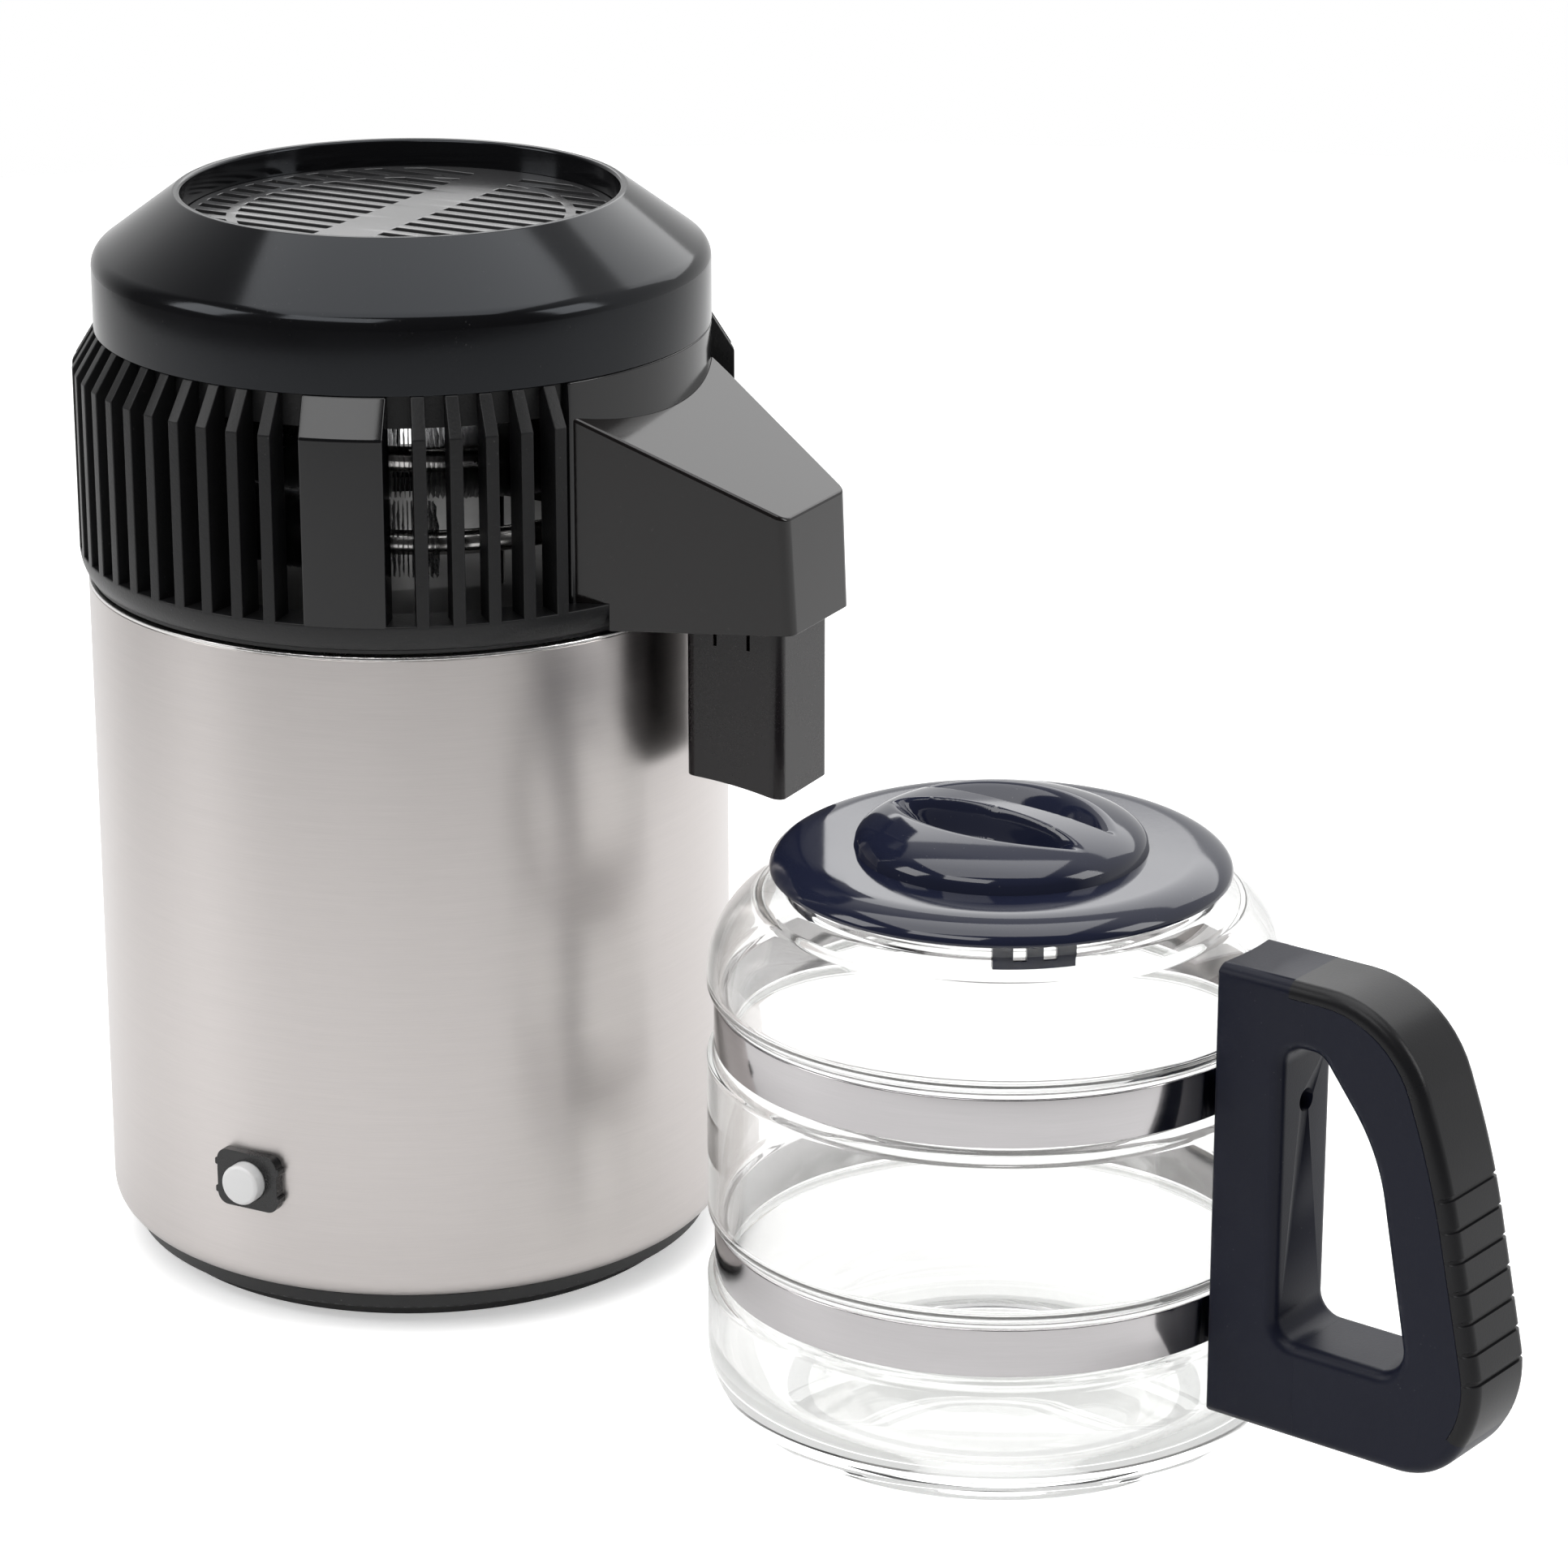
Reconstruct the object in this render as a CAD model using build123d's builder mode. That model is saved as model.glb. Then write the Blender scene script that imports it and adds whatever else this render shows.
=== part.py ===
from build123d import *

import os
from math import asin, cos, degrees, pi, radians, sin, sqrt, tan

os.makedirs("parts", exist_ok=True)

# Driving dimensions, in millimetres and degrees
# The origin is on the boiler's axis at the counter, +X towards the spout, -Y towards the reset button

# Base
foot_height = 2.0
foot_groove_depth = 2.0
foot_inset = 17.0
foot_width = 8.0
plinth_inset = 14.5
plinth_top = 7.0
base_step_inset = 7.5
base_top = 12.0
base_wall = 2.5
base_vent_count = 12
base_vent_radius = 45.0
base_vent_length = 24.0
base_vent_width = 4.0
base_screw_count = 3
base_screw_inset = 5.5
base_screw_diameter = 4.0
base_screw_head_diameter = 7.5
base_screw_head_height = 2.4
base_screw_recess = 3.0
base_screw_grip = 2.5

# Steel shell and inner pot
shell_radius = 105.5
shell_wall = 0.8
shell_height = 220.0
shell_corner_radius = 9.0
shell_lip_width = 25.5
pot_gap = 7.5
pot_wall = 0.8
pot_floor_height = 62.0
pot_corner_radius = 14.0
pot_rim_thickness = 1.2

# Heater
heater_inset = 25.2
heater_thickness = 4.0
element_inset = 20.0
element_diameter = 9.0
terminal_diameter = 5.0
terminal_length = 12.0
terminal_spacing = 26.0
thermostat_diameter = 17.0
thermostat_height = 9.0
thermostat_spacing = 30.0
blade_width = 5.0
blade_thickness = 0.8
blade_length = 7.0

# Reset button
reset_height = 51.5
bezel_width = 23.0
bezel_depth = 19.5
bezel_corner = 4.0
bezel_proud = 3.0
bezel_neck_width = 18.0
bezel_neck_depth = 16.0
bezel_neck_length = 6.0
bezel_rib_width = 1.2
bezel_rib_proud = 0.8
button_diameter = 13.5
button_proud = 5.0
button_travel = 2.5
button_collar_diameter = 15.5
button_collar_thickness = 1.5
switch_width = 21.0
switch_depth = 17.0
switch_length = 18.0

# Mains inlet and fan lead outlet on the back
socket_height = 36.0
socket_wall = 1.6
socket_flange_thickness = 2.2
socket_flange_margin = 3.0
inlet_angle = 90.0
inlet_width = 24.6
inlet_height = 17.0
inlet_corner = 5.0
inlet_length = 22.0
inlet_recess = 16.0
inlet_pin_pitch = 7.0
inlet_pin_drop = 2.0
inlet_pin_width = 2.0
inlet_pin_depth = 4.0
outlet_angle = 69.0
outlet_width = 15.0
outlet_height = 10.0
outlet_corner = 4.5
outlet_length = 18.0
outlet_recess = 12.0
outlet_pin_pitch = 7.0
outlet_pin_diameter = 2.4
pin_tail = 5.0
pin_recess = 7.0

# Head: tray, seal, vent ring
seal_thickness = 1.8
seal_width = 4.5
tray_wall = 0.8
tray_skirt_gap = 2.2
tray_skirt_depth = 6.0
tray_gutter_width = 6.0
tray_slope_width = 16.0
tray_rise = 7.0
vent_overhang = 2.5
vent_skirt_inset = 0.9
vent_skirt_lip = 1.5
vent_band_height = 10.0
vent_fin_height = 60.0
vent_slant_height = 12.0
vent_fin_width = 4.2
vent_fin_pitch = 6.0
vent_fin_depth = 10.2
collar_wall = 4.6
collar_below = 5.0
collar_above = 6.0
post_width = 26.5
post_angles = (-69.0, 69.0, 180.0)
panel_half_width = 46.5
panel_port_diameter = 14.0

# Dome cover and its grille
dome_inset = 4.9
dome_wall = 2.6
dome_wall_height = 24.0
dome_shoulder = 7.0
dome_cone_width = 27.1
dome_rim_wall = 2.5
dome_cone_rise = 20.0
rim_round = 1.2
grille_recess = 9.0
grille_thickness = 3.0
grille_ledge = 3.0
grille_bar_width = 4.0
grille_bar_pitch = 8.0
grille_edge_width = 3.0
grille_ring_inset = 18.5
grille_ring_width = 3.5
grille_cross_width = 19.0
grille_end_depth = 9.0

# Fan, motor and bracket
bracket_thickness = 2.5
bracket_arm_width = 12.0
bracket_angle = 60.0
bracket_arms = 3
bracket_hub_radius = 26.0
bracket_screw_diameter = 2.4
bracket_screw_head_diameter = 4.4
bracket_screw_head_height = 2.0
bracket_screw_depth = 8.0
motor_radius = 22.0
motor_height = 34.0
shaft_diameter = 5.0
fan_lift = 4.0
fan_height = 16.0
fan_hub_radius = 20.0
fan_hub_wall = 3.0
fan_inset = 7.5
fan_blade_count = 7
fan_blade_root_chord = 18.0
fan_blade_root_sink = 2.6
fan_blade_tip_chord = 26.0
fan_blade_thickness = 1.6
fan_blade_root_pitch = 40.0
fan_blade_tip_pitch = 24.0

# Condenser: one tube from the steam port round the coil to the spout
coil_inset = 20.6
tube_diameter = 8.0
coil_start_angle = 20.0
coil_end_angle = 690.0
coil_top = 74.0
coil_pitch = 26.0
entry_radius = 30.0
riser_bend = 12.0
coil_fin_diameter = 25.0
coil_fin_thickness = 0.6
coil_fin_sides = 8
coil_fin_count = 80
coil_fin_inset = 20.0
exit_bend = 20.0
outlet_bend = 12.0
outlet_length_out = 29.4
outlet_drop = 8.0

# Spout housing and filter cup
nose_length = 51.4
nose_tip_half_width = 20.5
nose_root_half_width = 41.0
nose_bottom_rise = 1.0
nose_root_rise = 65.05
nose_tip_rise = 39.05
nose_front_lean = 2.0
nose_wall = 2.4
nose_bevel = 3.5
nose_tip_round = 5.0
nose_edge_round = 1.5
cup_setback = 12.4
cup_tip_inset = 4.0
cup_half_width = 17.0
cup_depth = 57.0
cup_wall = 1.8
cup_corner = 4.0
cup_bottom_arch = 4.0
cup_collar_height = 8.0
cup_collar_inset = 2.4
cup_clearance = 0.3
cup_slit_width = 1.2
cup_slit_length = 8.0
cup_slit_spacing = 12.0
cup_drip_diameter = 4.0
cup_drip_spacing = 8.0
sachet_height = 26.0
sachet_gap = 1.0
sachet_round = 5.0

# Fan lead gland in the rear post
gland_rise = 14.0
gland_diameter = 9.0
gland_flange_diameter = 13.0
gland_flange_thickness = 2.0
gland_bore = 5.0

# Jug
jug_stand_gap = 3.0
jug_angle = -10.0
jug_radius = 91.0
jug_wall = 3.2
jug_rim_height = 179.0
jug_neck_radius = 67.0
jug_neck_height = 5.0
jug_shoulder_radius = 30.0
jug_shoulder_drop = 34.0
jug_shoulder_sweep = 62.0
jug_base_corner = 22.0
jug_foot_inner_radius = 58.0
jug_punt_height = 4.0
jug_floor = 4.5
lip_reach = 76.0
lip_radius = 20.0
lip_depth = 16.0
lip_root_inset = 8.0
band_height = 15.5
band_thickness = 0.8
band_inset = 2.2
band_gap = 0.1
groove_slope = 45.0
groove_round = 1.0
band_shoulder_gap = 1.3
lower_band_height = 56.0

# Handle
handle_width = 30.0
handle_top_drop = 6.0
handle_bottom = 26.0
handle_shoulder_share = 0.548
handle_knee_share = 0.795
handle_knee_drop = 49.0
handle_heel_reach = 186.0
handle_heel_height = 52.0
handle_toe_share = 0.795
handle_shoulder_round = 32.0
handle_knee_round = 60.0
handle_heel_round = 32.0
handle_toe_round = 18.0
handle_edge_round = 4.0
post_depth = 21.7
gap_top_drop = 21.0
gap_bottom = 57.0
gap_top_share = 0.178
gap_knee_share = 0.452
gap_knee_drop = 26.0
gap_heel_share = 0.63
gap_round_share = 0.54
strip_thickness = 5.0
strip_start_reach = 115.0
strip_end_height = 40.0
strip_groove_count = 7
strip_groove_width = 1.0
strip_groove_depth = 0.8
strip_groove_head = 6.0
strip_groove_foot = 10.0
boss_width = 20.0
handle_screw_diameter = 4.0
handle_screw_head_diameter = 7.0
handle_screw_head_height = 3.0
handle_screw_recess = 7.0
nut_size = 9.0
nut_thickness = 4.0
nut_clearance = 0.2
thread_clearance = 0.05

# Jug lid
lid_radius = 71.5
lid_flange_thickness = 5.0
lid_edge_round = 1.8
knob_radius = 45.5
knob_height = 16.0
knob_round = 10.0
knob_hollow_radius = 34.0
knob_hollow_side_radius = 40.0
knob_hollow_depth = 11.0
knob_hollow_taper = 22.0
knob_bar_width = 6.0
lid_plug_wall = 2.5
lid_plug_gap = 1.5
lid_plug_depth = 3.0
tab_count = 4
tab_angle = 45.0
tab_width = 25.0
tab_depth = 11.0
tab_slot_width = 4.0
tab_slot_height = 5.0
tab_slot_spacing = 9.0

# Edge rounds as a share of the thickness they break, and slopes that tell faces apart
edge_share = 0.25
nose_top_tilt = 45.0
nose_flat_tilt = 60.0
cup_arch_share = 0.75
cup_drip_count = 3

# Fits
slip_fit = 0.3
close_fit = 0.1
shaft_fit = 0.05

# Levels and radii worked out from the driving dimensions
plinth_radius = shell_radius - plinth_inset
base_step_radius = shell_radius - base_step_inset
base_screw_radius = plinth_radius - base_screw_inset
foot_mid_radius = plinth_radius - foot_inset
shell_lip_inner_radius = shell_radius - shell_lip_width
vent_radius = shell_radius + vent_overhang
vent_skirt_bottom_radius = shell_radius - vent_skirt_inset
dome_radius = shell_radius - dome_inset
dome_rim_radius = dome_radius - dome_cone_width
grille_ring_radius = dome_rim_radius - grille_ring_inset
fan_radius = dome_rim_radius - fan_inset
coil_radius = dome_radius - coil_inset
outlet_reach = dome_radius + outlet_length_out
nose_tip_radius = dome_radius + nose_length
cup_inner_reach = dome_radius + cup_setback
cup_outer_reach = nose_tip_radius - cup_tip_inset
jug_distance = cup_outer_reach + jug_radius + jug_stand_gap
foot_top = foot_height + foot_groove_depth
base_screw_seat = foot_height + base_screw_recess
shell_top = base_top + shell_height
pot_radius = shell_radius - shell_wall - pot_gap
heater_radius = pot_radius - heater_inset
element_ring_radius = heater_radius - element_inset
rim_top = shell_top + pot_rim_thickness
seal_top = rim_top + seal_thickness
tray_flange_top = seal_top + tray_wall
seal_outer_radius = shell_radius - pot_gap + seal_width / 2
seal_inner_radius = seal_outer_radius - seal_width
tray_flange_radius = seal_outer_radius
tray_skirt_radius = pot_radius - pot_wall - tray_skirt_gap
tray_gutter = seal_top - tray_skirt_depth
tray_flat_radius = tray_skirt_radius - tray_gutter_width - tray_slope_width
tray_flat = tray_gutter + tray_rise
tray_flat_top = tray_flat + tray_wall

vent_bottom = rim_top + vent_skirt_lip / 2
vent_band_top = vent_bottom + vent_band_height
vent_fin_top = vent_band_top + vent_fin_height
vent_top = vent_fin_top + vent_slant_height
vent_inner_radius = vent_radius - vent_fin_depth
collar_radius = vent_inner_radius
collar_inner_radius = collar_radius - collar_wall
collar_top = vent_top + collar_above
gland_height = vent_band_top + gland_rise

dome_shoulder_height = vent_top + dome_wall_height
dome_top = dome_shoulder_height + dome_cone_rise
dome_opening_radius = dome_rim_radius - dome_rim_wall
grille_top = dome_top - grille_recess
grille_bottom = grille_top - grille_thickness
grille_radius = dome_opening_radius - slip_fit

bracket_top = collar_top + bracket_thickness
fan_bottom = bracket_top + fan_lift
fan_top = fan_bottom + fan_height

coil_start_height = tray_flat_top + coil_top
coil_end_height = coil_start_height - coil_pitch * (coil_end_angle - coil_start_angle) / 360

nose_bottom = vent_bottom + nose_bottom_rise
nose_root_top = vent_bottom + nose_root_rise
nose_tip_top = vent_bottom + nose_tip_rise
nose_root_radius = dome_radius
cup_top = nose_bottom
cup_length = cup_outer_reach - cup_inner_reach
cup_mid = (cup_inner_reach + cup_outer_reach) / 2
cup_bottom = cup_top - cup_depth

jug_direction = Vector(cos(radians(jug_angle)), sin(radians(jug_angle)), 0)
jug_center = jug_direction * jug_distance
jug_plane = Plane(origin=jug_center, x_dir=jug_direction, z_dir=(0, 0, 1))
jug_side_plane = Plane(origin=jug_center, x_dir=jug_direction, z_dir=jug_direction.cross(Vector(0, 0, 1)))
jug_axis = Axis(jug_center, (0, 0, 1))
band_outer_radius = jug_radius - band_inset
band_inner_radius = band_outer_radius - band_thickness
groove_radius = band_inner_radius - band_gap
jug_shoulder_start = jug_rim_height - jug_shoulder_drop
groove_depth = jug_radius - groove_radius
groove_rise = groove_depth / tan(radians(groove_slope))
groove_half = band_height / 2 + groove_round
groove_spread = jug_wall * tan(radians(groove_slope / 2))
groove_reach = groove_half + groove_spread + groove_rise
upper_band_height = jug_shoulder_start - groove_reach - band_shoulder_gap
handle_inner_radius = jug_radius + slip_fit
post_reach = handle_inner_radius + post_depth
handle_depth = handle_heel_reach - post_reach
handle_shoulder_reach = post_reach + handle_depth * handle_shoulder_share
handle_knee_reach = post_reach + handle_depth * handle_knee_share
handle_toe_reach = post_reach + handle_depth * handle_toe_share
gap_top_reach = post_reach + handle_depth * gap_top_share
gap_knee_reach = post_reach + handle_depth * gap_knee_share
gap_heel_reach = post_reach + handle_depth * gap_heel_share
gap_round = (gap_top_reach - post_reach) * gap_round_share
handle_top = jug_rim_height - handle_top_drop
handle_knee_height = handle_top - handle_knee_drop
gap_top = handle_top - gap_top_drop
gap_knee_height = gap_top - gap_knee_drop
strip_groove_top = handle_knee_height - strip_groove_head
strip_groove_bottom = handle_heel_height + strip_groove_foot
lid_top = jug_rim_height + lid_flange_thickness


def radial_plane(angle, distance, center=Vector(0, 0, 0)):
    """A plane facing outward at an angle round an upright axis, its local y straight up."""
    outward = Vector(cos(radians(angle)), sin(radians(angle)), 0)
    sideways = Vector(-sin(radians(angle)), cos(radians(angle)), 0)
    return Plane(origin=center + outward * distance, x_dir=sideways, z_dir=outward)


# Foot ring
with BuildPart() as foot_ring:
    with BuildSketch():
        Circle(foot_mid_radius + foot_width / 2)
        Circle(foot_mid_radius - foot_width / 2, mode=Mode.SUBTRACT)
    extrude(amount=foot_top)
    chamfer(foot_ring.edges().group_by(Axis.Z)[0], foot_height * edge_share)
foot_ring.part.label = "foot_ring"
export_step(foot_ring.part, "parts/foot_ring.step")

# Base pan: a stepped plinth with a ring groove, vents and countersunk screw holes
with BuildPart() as base_pan:
    with BuildSketch(Plane.XZ):
        with BuildLine():
            Polyline(
                (0, foot_height),
                (plinth_radius, foot_height),
                (plinth_radius, plinth_top),
                (base_step_radius, plinth_top),
                (base_step_radius, base_top),
                (shell_lip_inner_radius - base_wall, base_top),
                (shell_lip_inner_radius - base_wall, foot_top + base_wall),
                (0, foot_top + base_wall),
                close=True,
            )
        make_face()
    revolve(axis=Axis.Z)
    with BuildSketch(Plane.XY.offset(foot_height)):
        Circle(foot_mid_radius + foot_width / 2 + close_fit)
        Circle(foot_mid_radius - foot_width / 2 - close_fit, mode=Mode.SUBTRACT)
    extrude(amount=foot_groove_depth, mode=Mode.SUBTRACT)
    with BuildSketch(Plane.XY.offset(foot_height)):
        with PolarLocations(base_vent_radius, base_vent_count):
            SlotOverall(base_vent_length, base_vent_width)
    extrude(amount=base_top, mode=Mode.SUBTRACT)
    with BuildSketch(Plane.XY.offset(foot_height)):
        with PolarLocations(base_screw_radius, base_screw_count):
            Circle(base_screw_diameter / 2 + close_fit)
    extrude(amount=base_top, mode=Mode.SUBTRACT)
    with BuildSketch(Plane.XY.offset(foot_height)):
        with PolarLocations(base_screw_radius, base_screw_count):
            Circle(base_screw_head_diameter / 2 + slip_fit)
    extrude(amount=base_screw_recess, mode=Mode.SUBTRACT)
    fillet(base_pan.edges().filter_by(GeomType.CIRCLE).group_by(SortBy.RADIUS)[-1], base_wall * edge_share)
base_pan.part.label = "base_pan"
export_step(base_pan.part, "parts/base_pan.step")

# Base screws, driven up through the pan into the shell's bottom lip
with BuildPart() as base_screws:
    with BuildSketch(Plane.XY.offset(base_screw_seat - base_screw_head_height)):
        with PolarLocations(base_screw_radius, base_screw_count):
            Circle(base_screw_head_diameter / 2)
    extrude(amount=base_screw_head_height)
    with BuildSketch(Plane.XY.offset(base_screw_seat)):
        with PolarLocations(base_screw_radius, base_screw_count):
            Circle(base_screw_diameter / 2)
    extrude(amount=base_top + base_screw_grip - base_screw_seat)
base_screws.part.label = "base_screws"
export_step(base_screws.part, "parts/base_screws.step")

# Outer shell: a drawn steel tube with a rounded lower corner and an inward lip
with BuildPart() as outer_shell:
    with BuildSketch(Plane.XY.offset(base_top)):
        Circle(shell_radius)
    extrude(amount=shell_height)
    fillet(outer_shell.edges().group_by(Axis.Z)[0], shell_corner_radius)
    offset(amount=-shell_wall, openings=outer_shell.faces().sort_by(Axis.Z)[-1])
    with BuildSketch(Plane.XY.offset(base_top)):
        Circle(shell_lip_inner_radius)
        with PolarLocations(base_screw_radius, base_screw_count):
            Circle(base_screw_diameter / 2 + close_fit)
    extrude(amount=shell_wall, mode=Mode.SUBTRACT)
    with BuildSketch(radial_plane(-90, 0)):
        with Locations((0, reset_height)):
            RectangleRounded(
                bezel_neck_width + 2 * close_fit, bezel_neck_depth + 2 * close_fit, bezel_corner
            )
    extrude(amount=shell_radius, mode=Mode.SUBTRACT)
    with BuildSketch(radial_plane(inlet_angle, 0)):
        with Locations((0, socket_height)):
            RectangleRounded(inlet_width + 2 * close_fit, inlet_height + 2 * close_fit, inlet_corner)
    extrude(amount=shell_radius, mode=Mode.SUBTRACT)
    with BuildSketch(radial_plane(outlet_angle, 0)):
        with Locations((0, socket_height)):
            RectangleRounded(outlet_width + 2 * close_fit, outlet_height + 2 * close_fit, outlet_corner)
    extrude(amount=shell_radius, mode=Mode.SUBTRACT)
outer_shell.part.label = "outer_shell"
export_step(outer_shell.part, "parts/outer_shell.step")

# Inner pot with the rim that closes the gap to the shell
with BuildPart() as inner_pot:
    with BuildSketch(Plane.XY.offset(pot_floor_height)):
        Circle(pot_radius)
    extrude(amount=rim_top - pot_floor_height)
    fillet(inner_pot.edges().group_by(Axis.Z)[0], pot_corner_radius)
    offset(amount=-pot_wall, openings=inner_pot.faces().sort_by(Axis.Z)[-1])
    with BuildSketch(Plane.XY.offset(shell_top)):
        Circle(shell_radius)
        Circle(pot_radius - pot_wall, mode=Mode.SUBTRACT)
    extrude(amount=pot_rim_thickness)
    rim_edges = inner_pot.edges().filter_by(GeomType.CIRCLE).group_by(SortBy.RADIUS)[-1]
    fillet(rim_edges, pot_rim_thickness * edge_share)
inner_pot.part.label = "inner_pot"
export_step(inner_pot.part, "parts/inner_pot.step")

# Heating plate with its ring element and two terminals
heater_bottom = pot_floor_height - heater_thickness
with BuildPart() as heating_plate:
    with BuildSketch(Plane.XY.offset(heater_bottom)):
        Circle(heater_radius)
    extrude(amount=heater_thickness)
    with BuildSketch(Plane.XZ):
        with Locations((element_ring_radius, heater_bottom)):
            Circle(element_diameter / 2)
        with Locations((element_ring_radius, heater_bottom + element_diameter / 2)):
            Rectangle(element_diameter * 2, element_diameter, mode=Mode.SUBTRACT)
    revolve(axis=Axis.Z)
    with BuildSketch(Plane.XY.offset(heater_bottom - terminal_length)):
        with Locations(
            (-element_ring_radius, -terminal_spacing / 2), (-element_ring_radius, terminal_spacing / 2)
        ):
            Circle(terminal_diameter / 2)
    extrude(amount=terminal_length)
heating_plate.part.label = "heating_plate"
export_step(heating_plate.part, "parts/heating_plate.step")

# Two thermostats clamped under the heating plate, each with two blade terminals
with BuildPart() as thermostats:
    with BuildSketch(Plane.XY.offset(heater_bottom - thermostat_height)):
        with GridLocations(thermostat_spacing, 0, 2, 1):
            Circle(thermostat_diameter / 2)
    extrude(amount=thermostat_height)
    with BuildSketch(Plane.XY.offset(heater_bottom - thermostat_height - blade_length)):
        with GridLocations(thermostat_spacing, thermostat_diameter / 2, 2, 2):
            Rectangle(blade_width, blade_thickness)
    extrude(amount=blade_length)
thermostats.part.label = "thermostats"
export_step(thermostats.part, "parts/thermostats.step")

# Reset bezel: a raised frame curved to the shell, with side ribs and a neck through it
bezel_front = shell_radius + bezel_proud
neck_back = shell_radius - bezel_neck_length
with BuildPart() as reset_bezel:
    with BuildSketch(radial_plane(-90, 0)):
        with Locations((0, reset_height)):
            RectangleRounded(bezel_width, bezel_depth, bezel_corner)
        with Locations(
            (0, reset_height + bezel_depth * edge_share), (0, reset_height - bezel_depth * edge_share)
        ):
            RectangleRounded(bezel_width + 2 * bezel_rib_proud, bezel_rib_width * 2, bezel_rib_width / 2)
    extrude(amount=bezel_front)
    with BuildSketch():
        Circle(shell_radius)
    extrude(amount=shell_top, mode=Mode.SUBTRACT)
    fillet(reset_bezel.faces().sort_by(Axis.Y)[0].edges(), bezel_rib_width * edge_share)
    with BuildSketch(radial_plane(-90, neck_back)):
        with Locations((0, reset_height)):
            RectangleRounded(bezel_neck_width, bezel_neck_depth, bezel_corner)
    extrude(amount=bezel_front - bezel_rib_width - neck_back)
    with BuildSketch(radial_plane(-90, neck_back)):
        with Locations((0, reset_height)):
            Circle(button_diameter / 2 + slip_fit)
    extrude(amount=bezel_front - neck_back, mode=Mode.SUBTRACT)
reset_bezel.part.label = "reset_bezel"
export_step(reset_bezel.part, "parts/reset_bezel.step")

# Reset switch behind the bezel, with a cavity for the button's collar and plunger
switch_cavity = button_collar_thickness + button_travel + slip_fit
with BuildPart() as reset_switch:
    with BuildSketch(radial_plane(-90, neck_back - switch_length)):
        with Locations((0, reset_height)):
            RectangleRounded(switch_width, switch_depth, bezel_rib_width)
    extrude(amount=switch_length)
    with BuildSketch(radial_plane(-90, neck_back - switch_cavity)):
        with Locations((0, reset_height)):
            Circle(button_collar_diameter / 2 + slip_fit)
    extrude(amount=switch_cavity, mode=Mode.SUBTRACT)
    with BuildSketch(radial_plane(-90, neck_back - switch_length - blade_length)):
        with Locations((0, reset_height)):
            with GridLocations(switch_width / 2, 0, 2, 1):
                Rectangle(blade_thickness, blade_width)
    extrude(amount=blade_length)
reset_switch.part.label = "reset_switch"
export_step(reset_switch.part, "parts/reset_switch.step")

# Reset button with the collar that keeps it behind the bezel
with BuildPart() as reset_button:
    with BuildSketch(radial_plane(-90, neck_back - button_collar_thickness)):
        with Locations((0, reset_height)):
            Circle(button_collar_diameter / 2)
    extrude(amount=button_collar_thickness)
    with BuildSketch(radial_plane(-90, neck_back)):
        with Locations((0, reset_height)):
            Circle(button_diameter / 2)
    extrude(amount=bezel_front + button_proud - neck_back)
    fillet(reset_button.edges().group_by(Axis.Y)[0], button_proud * edge_share)
reset_button.part.label = "reset_button"
export_step(reset_button.part, "parts/reset_button.step")


def socket_body(angle, width, height, corner, length, recess):
    """A flanged socket through the shell: flange curved to it, hollow inside, closed at the back."""
    with BuildPart() as body:
        with BuildSketch(radial_plane(angle, 0)):
            with Locations((0, socket_height)):
                RectangleRounded(
                    width + 2 * socket_flange_margin,
                    height + 2 * socket_flange_margin,
                    corner + socket_flange_margin / 2,
                )
        extrude(amount=shell_radius + socket_flange_thickness)
        with BuildSketch():
            Circle(shell_radius)
        extrude(amount=shell_top, mode=Mode.SUBTRACT)
        with BuildSketch(radial_plane(angle, shell_radius - length)):
            with Locations((0, socket_height)):
                RectangleRounded(width, height, corner)
        extrude(amount=length)
        with BuildSketch(radial_plane(angle, shell_radius - recess)):
            with Locations((0, socket_height)):
                RectangleRounded(width - 2 * socket_wall, height - 2 * socket_wall, corner - socket_wall)
        extrude(amount=recess + socket_flange_thickness, mode=Mode.SUBTRACT)
    return body.part


# Mains inlet and its three pins
with BuildPart() as mains_inlet:
    add(socket_body(inlet_angle, inlet_width, inlet_height, inlet_corner, inlet_length, inlet_recess))
    with BuildSketch(radial_plane(inlet_angle, shell_radius - inlet_length)):
        with Locations((0, socket_height - inlet_pin_drop)):
            with GridLocations(inlet_pin_pitch, 0, 2, 1):
                Rectangle(inlet_pin_width, inlet_pin_depth)
        with Locations((0, socket_height + inlet_pin_drop)):
            Rectangle(inlet_pin_width, inlet_pin_depth)
    extrude(amount=inlet_length, mode=Mode.SUBTRACT)
mains_inlet.part.label = "mains_inlet"
export_step(mains_inlet.part, "parts/mains_inlet.step")

with BuildPart() as inlet_pins:
    with BuildSketch(radial_plane(inlet_angle, shell_radius - inlet_length - pin_tail)):
        with Locations((0, socket_height - inlet_pin_drop)):
            with GridLocations(inlet_pin_pitch, 0, 2, 1):
                Rectangle(inlet_pin_width, inlet_pin_depth)
        with Locations((0, socket_height + inlet_pin_drop)):
            Rectangle(inlet_pin_width, inlet_pin_depth)
    extrude(amount=inlet_length + pin_tail - pin_recess)
inlet_pins.part.label = "inlet_pins"
export_step(inlet_pins.part, "parts/inlet_pins.step")

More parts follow.
